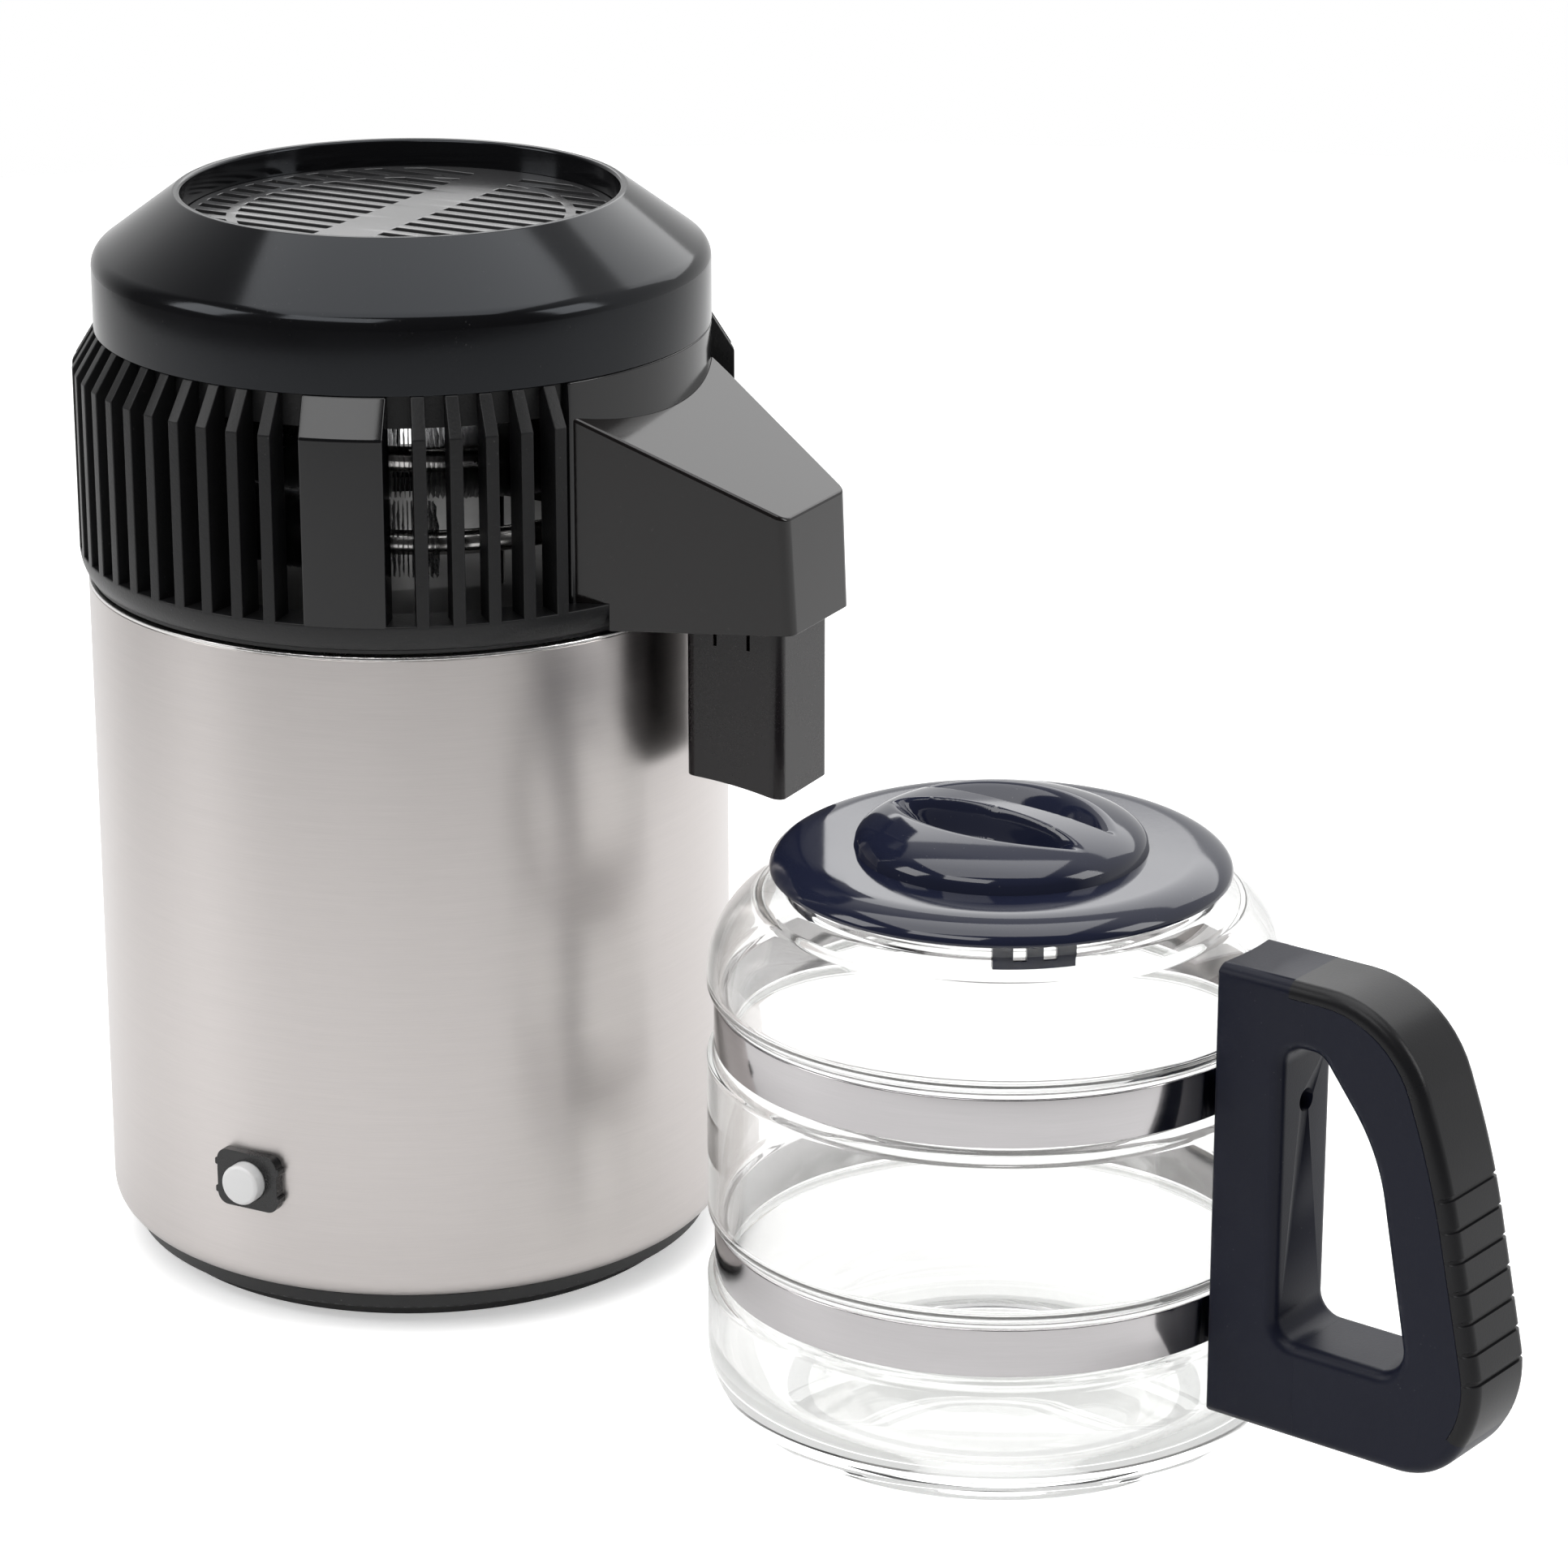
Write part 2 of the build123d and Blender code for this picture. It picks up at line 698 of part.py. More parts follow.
# Fan lead outlet and its two pins
with BuildPart() as fan_outlet:
    add(socket_body(outlet_angle, outlet_width, outlet_height, outlet_corner, outlet_length, outlet_recess))
    with BuildSketch(radial_plane(outlet_angle, shell_radius - outlet_length)):
        with Locations((0, socket_height)):
            with GridLocations(outlet_pin_pitch, 0, 2, 1):
                Circle(outlet_pin_diameter / 2)
    extrude(amount=outlet_length, mode=Mode.SUBTRACT)
fan_outlet.part.label = "fan_outlet"
export_step(fan_outlet.part, "parts/fan_outlet.step")

with BuildPart() as outlet_pins:
    with BuildSketch(radial_plane(outlet_angle, shell_radius - outlet_length - pin_tail)):
        with Locations((0, socket_height)):
            with GridLocations(outlet_pin_pitch, 0, 2, 1):
                Circle(outlet_pin_diameter / 2)
    extrude(amount=outlet_length + pin_tail - pin_recess)
outlet_pins.part.label = "outlet_pins"
export_step(outlet_pins.part, "parts/outlet_pins.step")

# Rim seal and stainless tray, whose skirt drops inside the pot
with BuildPart() as rim_seal:
    with BuildSketch(Plane.XY.offset(rim_top)):
        Circle(seal_outer_radius)
        Circle(seal_inner_radius, mode=Mode.SUBTRACT)
    extrude(amount=seal_thickness)
rim_seal.part.label = "rim_seal"
export_step(rim_seal.part, "parts/rim_seal.step")

coil_outward = Vector(cos(radians(coil_start_angle)), sin(radians(coil_start_angle)), 0)
coil_sideways = Vector(-sin(radians(coil_start_angle)), cos(radians(coil_start_angle)), 0)
coil_start = coil_outward * coil_radius + Vector(0, 0, coil_start_height)
entry_start = coil_start - (coil_outward + coil_sideways) * entry_radius
riser_top = entry_start - coil_outward * (riser_bend + tube_diameter / 2)
riser_foot = Vector(riser_top.X, riser_top.Y, tray_flat_top)

with BuildPart() as head_tray:
    with BuildSketch(Plane.XZ):
        with BuildLine():
            Polyline(
                (0, tray_flat),
                (tray_flat_radius, tray_flat),
                (tray_flat_radius + tray_slope_width, tray_gutter),
                (tray_skirt_radius, tray_gutter),
                (tray_skirt_radius, seal_top),
                (tray_flange_radius, seal_top),
                (tray_flange_radius, tray_flange_top),
                (tray_skirt_radius - tray_wall, tray_flange_top),
                (tray_skirt_radius - tray_wall, tray_gutter + tray_wall),
                (tray_flat_radius + tray_slope_width, tray_gutter + tray_wall),
                (tray_flat_radius, tray_flat_top),
                (0, tray_flat_top),
                close=True,
            )
        make_face()
    revolve(axis=Axis.Z)
    with BuildSketch(Plane.XY.offset(tray_flat)):
        with Locations((riser_foot.X, riser_foot.Y)):
            Circle(tube_diameter / 2 - tray_wall)
    extrude(amount=tray_wall, mode=Mode.SUBTRACT)
head_tray.part.label = "head_tray"
export_step(head_tray.part, "parts/head_tray.step")


def fin_angles():
    """Angles of the fins, spread evenly over each stretch between the posts and the spout's panel."""
    panel_half_angle = degrees(asin(panel_half_width / vent_radius))
    post_half_angle = degrees(asin(post_width / 2 / vent_radius))
    solids = [(0.0, panel_half_angle)] + sorted((angle % 360, post_half_angle) for angle in post_angles)
    angles = []
    for (angle, half), (next_angle, next_half) in zip(solids, solids[1:] + [(360.0, panel_half_angle)]):
        stretch = (next_angle - next_half) - (angle + half)
        slots = round(stretch / vent_fin_pitch)
        angles += [angle + half + stretch * index / slots for index in range(1, slots)]
    return angles


# Vent ring: bottom band with a skirt, slanted fins, wide posts, a panel for the spout and a collar
fin_mid_radius = vent_inner_radius + vent_fin_depth / 2
with BuildPart() as vent_ring:
    with BuildSketch(Plane.XZ):
        with BuildLine():
            Polyline(
                (vent_inner_radius, vent_band_top),
                (vent_radius, vent_band_top),
                (vent_radius, vent_fin_top),
                (dome_radius, vent_top),
                (vent_inner_radius, vent_top),
                close=True,
            )
        make_face()
    revolve(axis=Axis.Z)
    with BuildSketch(Plane.XY.offset(vent_band_top)):
        for angle in fin_angles():
            with PolarLocations(fin_mid_radius, 1, start_angle=angle):
                Rectangle(vent_fin_depth + vent_fin_width, vent_fin_width)
        for angle in post_angles:
            with PolarLocations(fin_mid_radius, 1, start_angle=angle):
                Rectangle(vent_fin_depth + vent_fin_width, post_width)
    extrude(amount=vent_top - vent_band_top, mode=Mode.INTERSECT)
    with BuildSketch(Plane.XZ):
        with BuildLine():
            Polyline(
                (vent_radius, vent_band_top),
                (collar_inner_radius, vent_band_top),
                (collar_inner_radius, tray_flange_top),
                (tray_flange_radius + slip_fit, tray_flange_top),
                (tray_flange_radius + slip_fit, vent_bottom),
                (vent_skirt_bottom_radius, vent_bottom),
                (vent_skirt_bottom_radius, vent_bottom + vent_skirt_lip),
                (vent_skirt_bottom_radius + vent_skirt_lip / 2, vent_bottom + vent_skirt_lip),
            )
            TangentArc(
                (vent_radius, vent_band_top),
                (vent_skirt_bottom_radius + vent_skirt_lip / 2, vent_bottom + vent_skirt_lip),
                tangent=(0, -1),
            )
        make_face()
    revolve(axis=Axis.Z)
    with BuildSketch(Plane.XZ):
        with Locations(
            ((collar_inner_radius + collar_radius) / 2, (vent_top - collar_below + collar_top) / 2)
        ):
            Rectangle(collar_wall, collar_below + collar_above)
    revolve(axis=Axis.Z)
    with BuildSketch(Plane.XY.offset(vent_band_top)):
        Circle(dome_radius)
        Circle(vent_inner_radius, mode=Mode.SUBTRACT)
        Rectangle(dome_radius, 2 * panel_half_width, align=(Align.MIN, Align.CENTER), mode=Mode.INTERSECT)
    extrude(amount=vent_top - vent_band_top)
    with BuildSketch(radial_plane(0, coil_radius)):
        with Locations((0, coil_end_height)):
            Circle(panel_port_diameter / 2)
    extrude(amount=vent_radius - coil_radius, mode=Mode.SUBTRACT)
    with BuildSketch(radial_plane(outlet_angle, coil_radius)):
        with Locations((0, gland_height)):
            Circle(gland_diameter / 2 + close_fit)
    extrude(amount=vent_radius - coil_radius, mode=Mode.SUBTRACT)
    with BuildSketch(Plane.XY.offset(collar_top - bracket_screw_depth)):
        with PolarLocations(collar_inner_radius + collar_wall / 2, bracket_arms, start_angle=bracket_angle):
            Circle(bracket_screw_diameter / 2 + close_fit)
    extrude(amount=bracket_screw_depth, mode=Mode.SUBTRACT)
vent_ring.part.label = "vent_ring"
export_step(vent_ring.part, "parts/vent_ring.step")

# Dome cover: upright wall, rounded shoulder, cone up to a rim with a recessed ledge for the grille
dome_slope = dome_cone_rise / (dome_radius - dome_rim_radius)
dome_inner_radius = dome_radius - dome_wall
dome_inner_rim = dome_top - dome_wall * sqrt(1 + dome_slope**2)
dome_inner_shoulder = dome_inner_rim - dome_slope * (dome_inner_radius - dome_rim_radius)
with BuildPart() as dome_cover:
    with BuildSketch(Plane.XZ):
        with BuildLine():
            FilletPolyline(
                (dome_radius, vent_top),
                (dome_radius, dome_shoulder_height),
                (dome_rim_radius, dome_top),
                (dome_opening_radius, dome_top),
                (dome_opening_radius, grille_bottom),
                (dome_opening_radius - grille_ledge, grille_bottom),
                (dome_opening_radius - grille_ledge, grille_bottom - dome_rim_wall),
                (dome_rim_radius, grille_bottom - dome_rim_wall),
                (dome_rim_radius, dome_inner_rim),
                (dome_inner_radius, dome_inner_shoulder),
                (dome_inner_radius, vent_top),
                radius=[
                    0, dome_shoulder, rim_round, rim_round, 0, 0, 0, 0, 0, dome_shoulder - dome_wall, 0
                ],
                close=True,
            )
        make_face()
    revolve(axis=Axis.Z)
dome_cover.part.label = "dome_cover"
export_step(dome_cover.part, "parts/dome_cover.step")

# Top grille: parallel bars, a ring, one wide crossbar and closed ends in a round edge
with BuildSketch() as grille_ring:
    Circle(grille_ring_radius + grille_ring_width / 2)
    Circle(grille_ring_radius - grille_ring_width / 2, mode=Mode.SUBTRACT)
with BuildSketch() as grille_edge:
    Circle(grille_radius)
    Circle(grille_radius - grille_edge_width, mode=Mode.SUBTRACT)
grille_bar_count = 2 * int((grille_radius - grille_end_depth) / grille_bar_pitch) + 1
with BuildPart() as top_grille:
    with BuildSketch(Plane.XY.offset(grille_bottom)):
        with GridLocations(0, grille_bar_pitch, 1, grille_bar_count):
            Rectangle(2 * grille_radius, grille_bar_width)
        Rectangle(grille_cross_width, 2 * grille_radius)
        with GridLocations(0, 2 * grille_radius - grille_end_depth, 1, 2):
            Rectangle(2 * grille_radius, grille_end_depth)
        add(grille_ring.sketch)
        Circle(grille_radius, mode=Mode.INTERSECT)
        add(grille_edge.sketch)
    extrude(amount=grille_thickness)
top_grille.part.label = "top_grille"
export_step(top_grille.part, "parts/top_grille.step")

# Motor bracket on the collar, its screws, and the fan motor hung under it
with BuildPart() as motor_bracket:
    with BuildSketch(Plane.XY.offset(collar_top)):
        Circle(bracket_hub_radius)
        with PolarLocations(0, bracket_arms, start_angle=bracket_angle):
            Rectangle(collar_radius, bracket_arm_width, align=(Align.MIN, Align.CENTER))
        Circle(collar_radius, mode=Mode.INTERSECT)
        Circle(shaft_diameter, mode=Mode.SUBTRACT)
        with PolarLocations(collar_inner_radius + collar_wall / 2, bracket_arms, start_angle=bracket_angle):
            Circle(bracket_screw_diameter / 2 + close_fit, mode=Mode.SUBTRACT)
    extrude(amount=bracket_thickness)
motor_bracket.part.label = "motor_bracket"
export_step(motor_bracket.part, "parts/motor_bracket.step")

with BuildPart() as bracket_screws:
    with BuildSketch(Plane.XY.offset(bracket_top)):
        with PolarLocations(collar_inner_radius + collar_wall / 2, bracket_arms, start_angle=bracket_angle):
            Circle(bracket_screw_head_diameter / 2)
    extrude(amount=bracket_screw_head_height)
    with BuildSketch(Plane.XY.offset(collar_top - bracket_screw_depth + close_fit)):
        with PolarLocations(collar_inner_radius + collar_wall / 2, bracket_arms, start_angle=bracket_angle):
            Circle(bracket_screw_diameter / 2)
    extrude(amount=bracket_screw_depth - close_fit + bracket_thickness)
bracket_screws.part.label = "bracket_screws"
export_step(bracket_screws.part, "parts/bracket_screws.step")

shaft_top = fan_top - fan_hub_wall - slip_fit
with BuildPart() as fan_motor:
    with BuildSketch(Plane.XY.offset(collar_top - motor_height)):
        Circle(motor_radius)
    extrude(amount=motor_height)
    fillet(fan_motor.edges().group_by(Axis.Z)[0], motor_radius * edge_share)
    with BuildSketch(Plane.XY.offset(collar_top)):
        Circle(shaft_diameter / 2)
    extrude(amount=shaft_top - collar_top)
fan_motor.part.label = "fan_motor"
export_step(fan_motor.part, "parts/fan_motor.step")

# Fan rotor: a hub cup on the motor shaft with twisted blades
fan_mid = fan_bottom + fan_height / 2
with BuildPart() as fan_blade:
    with BuildSketch(Plane.YZ.offset(fan_hub_radius - fan_blade_root_sink)):
        with Locations((0, fan_mid)):
            Rectangle(fan_blade_root_chord, fan_blade_thickness, rotation=fan_blade_root_pitch)
    with BuildSketch(Plane.YZ.offset(fan_radius)):
        with Locations((0, fan_mid)):
            Rectangle(fan_blade_tip_chord, fan_blade_thickness, rotation=fan_blade_tip_pitch)
    loft(ruled=True)
with BuildPart() as fan_rotor:
    with PolarLocations(0, fan_blade_count):
        add(fan_blade.part)
    with BuildSketch(Plane.XY.offset(fan_bottom)):
        Circle(fan_hub_radius)
    extrude(amount=fan_height)
    fillet(fan_rotor.edges().filter_by(GeomType.CIRCLE).group_by(Axis.Z)[-1], fan_hub_wall / 2)
    with BuildSketch(Plane.XY.offset(fan_bottom)):
        Circle(fan_hub_radius - fan_hub_wall)
        Circle(shaft_diameter, mode=Mode.SUBTRACT)
    extrude(amount=fan_height - fan_hub_wall, mode=Mode.SUBTRACT)
    with BuildSketch(Plane.XY.offset(fan_bottom)):
        Circle(shaft_diameter / 2 + shaft_fit)
    extrude(amount=fan_height - fan_hub_wall, mode=Mode.SUBTRACT)
fan_rotor.part.label = "fan_rotor"
export_step(fan_rotor.part, "parts/fan_rotor.step")


def coil_point(angle):
    """A point of the coil's centre line at an angle from its start round the axis."""
    height = coil_start_height - coil_pitch * (angle - coil_start_angle) / 360
    return Vector(coil_radius * cos(radians(angle)), coil_radius * sin(radians(angle)), height)


def coil_tangent(angle):
    """The direction of the coil's centre line, level at its two ends."""
    level = angle in (coil_start_angle, coil_end_angle)
    fall = 0 if level else -coil_pitch / (2 * pi)
    return Vector(-coil_radius * sin(radians(angle)), coil_radius * cos(radians(angle)), fall).normalized()


def biarc(start, start_tangent, end, end_tangent):
    """Two arcs, tangent to each other, that join two points with the given directions."""
    span = end - start
    both = start_tangent + end_tangent
    bend = 2 * (1 - start_tangent.dot(end_tangent))
    reach = (sqrt(span.dot(both) ** 2 + bend * span.dot(span)) - span.dot(both)) / bend
    first = start + start_tangent * reach
    second = end - end_tangent * reach
    middle = (first + second) / 2
    TangentArc(start, middle, tangent=start_tangent)
    TangentArc(middle, end, tangent=second - first)


# Condenser coil: riser from the steam port, coil, and a level run into the spout that turns down
coil_steps = round((coil_end_angle - coil_start_angle) / 90)
coil_angles = [
    coil_start_angle + (coil_end_angle - coil_start_angle) * index / coil_steps
    for index in range(coil_steps + 1)
]
coil_end = coil_point(coil_end_angle)
exit_corner = Vector(coil_radius / cos(radians(coil_end_angle)), 0, coil_end_height)
outlet_corner_point = Vector(outlet_reach, 0, coil_end_height)
outlet_end = outlet_corner_point - Vector(0, 0, outlet_bend + outlet_drop)
with BuildPart() as condenser_coil:
    with BuildLine() as coil_path:
        FilletPolyline(riser_foot, riser_top, entry_start, radius=riser_bend)
        TangentArc(entry_start, coil_start, tangent=coil_outward)
        for angle, next_angle in zip(coil_angles, coil_angles[1:]):
            biarc(coil_point(angle), coil_tangent(angle), coil_point(next_angle), coil_tangent(next_angle))
        FilletPolyline(
            coil_end, exit_corner, outlet_corner_point, outlet_end, radius=[exit_bend, outlet_bend]
        )
    with BuildSketch(Plane(origin=riser_foot, z_dir=(0, 0, 1))):
        Circle(tube_diameter / 2)
    sweep()
condenser_coil.part.label = "condenser_coil"
export_step(condenser_coil.part, "parts/condenser_coil.step")

# The least gap of the tube to itself, measured on points a half turn or more apart
coil_samples = 240
coil_wire = coil_path.wires()[0]
coil_length = coil_wire.length
coil_points = [coil_wire @ (index / coil_samples) for index in range(coil_samples + 1)]
far_apart = int(coil_samples * 2 * coil_radius / coil_length)
self_gap = min(
    (coil_points[index] - coil_points[other]).length
    for index in range(coil_samples + 1)
    for other in range(index + far_apart, coil_samples + 1)
)
print("condenser coil least gap to itself", round(self_gap - tube_diameter, 2))
print("condenser coil volume over section times length",
      round(condenser_coil.part.volume / (pi * (tube_diameter / 2) ** 2 * coil_length), 4))

# Cooling fins threaded on the coil
fin_first = coil_wire.param_at_point(coil_start) + coil_fin_inset / coil_length
fin_last = coil_wire.param_at_point(coil_end) - coil_fin_inset / coil_length
fin_step = (fin_last - fin_first) / (coil_fin_count - 1)
fin_places = [fin_first + fin_step * index for index in range(coil_fin_count)]
fin_planes = [Plane(origin=coil_wire @ place, z_dir=coil_wire % place) for place in fin_places]
with BuildPart() as coil_fins:
    with BuildSketch(*fin_planes):
        RegularPolygon(coil_fin_diameter / 2, coil_fin_sides)
        RegularPolygon(
            tube_diameter / 2 + close_fit, coil_fin_sides, major_radius=False, mode=Mode.SUBTRACT
        )
    extrude(amount=coil_fin_thickness)
coil_fins.part.label = "coil_fins"
export_step(coil_fins.part, "parts/coil_fins.step")


def nose_block(inset, floor):
    """The spout's wedge, set in from its outside by an inset and up from its bottom by a floor."""
    back = nose_root_radius - nose_root_half_width / 2
    side_slope = (nose_root_half_width - nose_tip_half_width) / (nose_tip_radius - nose_root_radius)
    top_slope = (nose_root_top - nose_tip_top) / (nose_tip_radius - nose_root_radius)
    back_half_width = nose_root_half_width + side_slope * (nose_root_radius - back) - inset
    back_top = nose_root_top + top_slope * (nose_root_radius - back) - inset
    tip = nose_tip_radius - inset
    front_half_width = nose_tip_half_width - side_slope * nose_front_lean - inset
    bottom = nose_bottom + floor
    with BuildPart() as block:
        with BuildSketch(Plane.XY.offset(bottom)):
            with BuildLine():
                Polyline(
                    (back, -back_half_width),
                    (tip + nose_front_lean, -front_half_width),
                    (tip + nose_front_lean, front_half_width),
                    (back, back_half_width),
                    close=True,
                )
            make_face()
        extrude(amount=back_top - bottom)
        with BuildSketch(Plane.XZ):
            with BuildLine():
                Polyline(
                    (back, bottom),
                    (tip + nose_front_lean, bottom),
                    (tip, nose_tip_top - inset),
                    (back, back_top),
                    close=True,
                )
            make_face()
        extrude(amount=2 * nose_root_half_width, both=True, mode=Mode.INTERSECT)
    return block.part


# Spout housing: a wedge with bevelled long edges, hollow, open to the panel and over the filter cup
with BuildPart() as spout_housing:
    add(nose_block(0, 0))
    nose_front = spout_housing.faces().sort_by(Axis.X)[-1]
    fillet(nose_front.edges().sort_by(Axis.Z)[1:3], nose_tip_round)
    nose_top_limit = sin(radians(nose_top_tilt))
    nose_top = spout_housing.faces().filter_by(lambda face: face.normal_at().Z > nose_top_limit)[0]
    chamfer(nose_top.edges().group_by(SortBy.LENGTH)[-1], nose_bevel)
    nose_flat_limit = sin(radians(nose_flat_tilt))
    nose_top = spout_housing.faces().filter_by(lambda face: face.normal_at().Z > nose_flat_limit)[0]
    fillet(nose_top.edges().sort_by(Axis.X)[-1:], nose_edge_round)
    add(nose_block(nose_wall, nose_wall), mode=Mode.SUBTRACT)
    with BuildSketch(Plane.XY.offset(nose_bottom)):
        Circle(vent_radius)
    extrude(amount=vent_band_top - nose_bottom, mode=Mode.SUBTRACT)
    with BuildSketch(Plane.XY.offset(vent_band_top)):
        Circle(nose_root_radius)
    extrude(amount=vent_top - vent_band_top, mode=Mode.SUBTRACT)
    with BuildSketch(Plane.XY.offset(nose_bottom)):
        with Locations((cup_mid, 0)):
            RectangleRounded(
                cup_length - 2 * (cup_collar_inset - cup_clearance),
                2 * (cup_half_width - cup_collar_inset + cup_clearance),
                cup_corner - cup_collar_inset + cup_clearance,
            )
    extrude(amount=nose_wall, mode=Mode.SUBTRACT)
spout_housing.part.label = "spout_housing"
export_step(spout_housing.part, "parts/spout_housing.step")

# Filter cup: a box with an arched bottom, drip holes, side slits and a collar up into the spout
cup_floor = cup_bottom + cup_bottom_arch + cup_wall
with BuildPart() as filter_cup:
    with BuildSketch(Plane.XY.offset(cup_bottom)):
        with Locations((cup_mid, 0)):
            RectangleRounded(cup_length, 2 * cup_half_width, cup_corner)
    extrude(amount=cup_depth)
    with BuildSketch(Plane.XY.offset(cup_top)):
        with Locations((cup_mid, 0)):
            RectangleRounded(
                cup_length - 2 * cup_collar_inset,
                2 * (cup_half_width - cup_collar_inset),
                cup_corner - cup_collar_inset,
            )
    extrude(amount=cup_collar_height)
    with BuildSketch(Plane.XZ):
        with BuildLine():
            ThreePointArc(
                (cup_inner_reach, cup_bottom + cup_bottom_arch),
                (cup_mid, cup_bottom + cup_bottom_arch * cup_arch_share),
                (cup_outer_reach, cup_bottom),
            )
            Polyline(
                (cup_outer_reach, cup_bottom),
                (cup_inner_reach, cup_bottom),
                (cup_inner_reach, cup_bottom + cup_bottom_arch),
            )
        make_face()
    extrude(amount=2 * cup_half_width, both=True, mode=Mode.SUBTRACT)
    with BuildSketch(Plane.XY.offset(cup_floor)):
        with Locations((cup_mid, 0)):
            RectangleRounded(
                cup_length - 2 * cup_wall, 2 * (cup_half_width - cup_wall), cup_corner - cup_wall
            )
    extrude(amount=cup_top - cup_collar_inset - cup_floor, mode=Mode.SUBTRACT)
    with BuildSketch(Plane.XY.offset(cup_floor)):
        with Locations((cup_mid, 0)):
            Rectangle(
                cup_length - 2 * (cup_collar_inset + cup_wall),
                2 * (cup_half_width - cup_collar_inset - cup_wall),
            )
    extrude(amount=cup_depth + cup_collar_height, mode=Mode.SUBTRACT)
    with BuildSketch(Plane.XY.offset(cup_top - cup_slit_length)):
        with Locations((cup_mid, 0)):
            with GridLocations(cup_slit_spacing, 0, 2, 1):
                Rectangle(cup_slit_width, 2 * (cup_half_width + cup_wall))
    extrude(amount=cup_slit_length + cup_collar_height, mode=Mode.SUBTRACT)
    with BuildSketch(Plane.XY.offset(cup_bottom)):
        with Locations((cup_mid, 0)):
            with GridLocations(cup_drip_spacing, 0, cup_drip_count, 1):
                Circle(cup_drip_diameter / 2)
    extrude(amount=cup_depth, mode=Mode.SUBTRACT)
filter_cup.part.label = "filter_cup"
export_step(filter_cup.part, "parts/filter_cup.step")

# Carbon sachet lying in the cup
with BuildPart() as carbon_sachet:
    with BuildSketch(Plane.XY.offset(cup_floor)):
        with Locations((cup_mid, 0)):
            RectangleRounded(
                cup_length - 2 * (cup_wall + sachet_gap),
                2 * (cup_half_width - cup_wall - sachet_gap),
                sachet_round,
            )
    extrude(amount=sachet_height)
    fillet(carbon_sachet.edges().group_by(Axis.Z)[-1], sachet_round - close_fit)
carbon_sachet.part.label = "carbon_sachet"
export_step(carbon_sachet.part, "parts/carbon_sachet.step")

# Gland for the fan lead in the rear post
with BuildPart() as fan_lead_gland:
    with BuildSketch(radial_plane(outlet_angle, 0)):
        with Locations((0, gland_height)):
            Circle(gland_flange_diameter / 2)
    extrude(amount=vent_radius + gland_flange_thickness)
    with BuildSketch(Plane.XY.offset(vent_band_top)):
        Circle(vent_radius)
    extrude(amount=vent_fin_height, mode=Mode.SUBTRACT)
    gland_face = fan_lead_gland.faces().sort_by(Axis((0, 0, 0), radial_plane(outlet_angle, 0).z_dir))[-1]
    fillet(gland_face.edges(), gland_flange_thickness * edge_share)
    with BuildSketch(radial_plane(outlet_angle, vent_inner_radius - gland_flange_thickness)):
        with Locations((0, gland_height)):
            Circle(gland_diameter / 2)
    extrude(amount=vent_fin_depth + gland_flange_thickness)
    with BuildSketch(radial_plane(outlet_angle, 0)):
        with Locations((0, gland_height)):
            Circle(gland_bore / 2)
    extrude(amount=2 * vent_radius, mode=Mode.SUBTRACT)
fan_lead_gland.part.label = "fan_lead_gland"
export_step(fan_lead_gland.part, "parts/fan_lead_gland.step")

# Glass jug: rounded foot with a punt, band grooves, round shoulder, short neck and a pour lip
neck_bottom = jug_rim_height - jug_neck_height
shoulder_center = jug_radius - jug_shoulder_radius
jug_inner_radius = jug_radius - jug_wall
inner_floor = jug_punt_height + jug_floor
inner_corner = jug_base_corner - jug_wall
inner_shoulder_radius = jug_shoulder_radius - jug_wall


def grooved_wall(inset, low, high):
    """Upright wall line of the jug from low to high, drawn in at both bands, set in from the outside."""
    half = groove_half + groove_spread * inset / jug_wall
    radius = jug_radius - inset
    points = [(radius, low)]
    for level in (lower_band_height, upper_band_height):
        points += [
            (radius, level - half - groove_rise),
            (radius - groove_depth, level - half),
            (radius - groove_depth, level + half),
            (radius, level + half + groove_rise),
        ]
    return points + [(radius, high)]


def lip_cone(inset):
    """The pour lip's cone, drawn out of the shoulder up to the rim, set in from its outside."""
    with BuildPart() as cone:
        with BuildSketch(jug_plane.offset(jug_rim_height - lip_depth)):
            with Locations((lip_radius - jug_neck_radius + lip_root_inset, 0)):
                Circle(lip_radius - inset)
        with BuildSketch(jug_plane.offset(jug_rim_height)):
            with Locations((lip_radius - lip_reach, 0)):
                Circle(lip_radius - inset)
        loft()
    return cone.part


with BuildPart() as jug_bore:
    with BuildSketch(jug_side_plane):
        with BuildLine():
            Polyline((0, jug_rim_height), (0, inner_floor), (jug_inner_radius - inner_corner, inner_floor))
            CenterArc((jug_inner_radius - inner_corner, inner_floor + inner_corner), inner_corner, -90, 90)
            FilletPolyline(
                *grooved_wall(jug_wall, inner_floor + inner_corner, jug_shoulder_start), radius=groove_round
            )
            inner_shoulder = CenterArc(
                (shoulder_center, jug_shoulder_start), inner_shoulder_radius, 0, jug_shoulder_sweep
            )
            Polyline(
                inner_shoulder @ 1,
                (jug_neck_radius - jug_wall, neck_bottom - jug_wall / 2),
                (jug_neck_radius - jug_wall, jug_rim_height),
                (0, jug_rim_height),
            )
        make_face()
    revolve(axis=jug_axis)
    add(lip_cone(jug_wall))

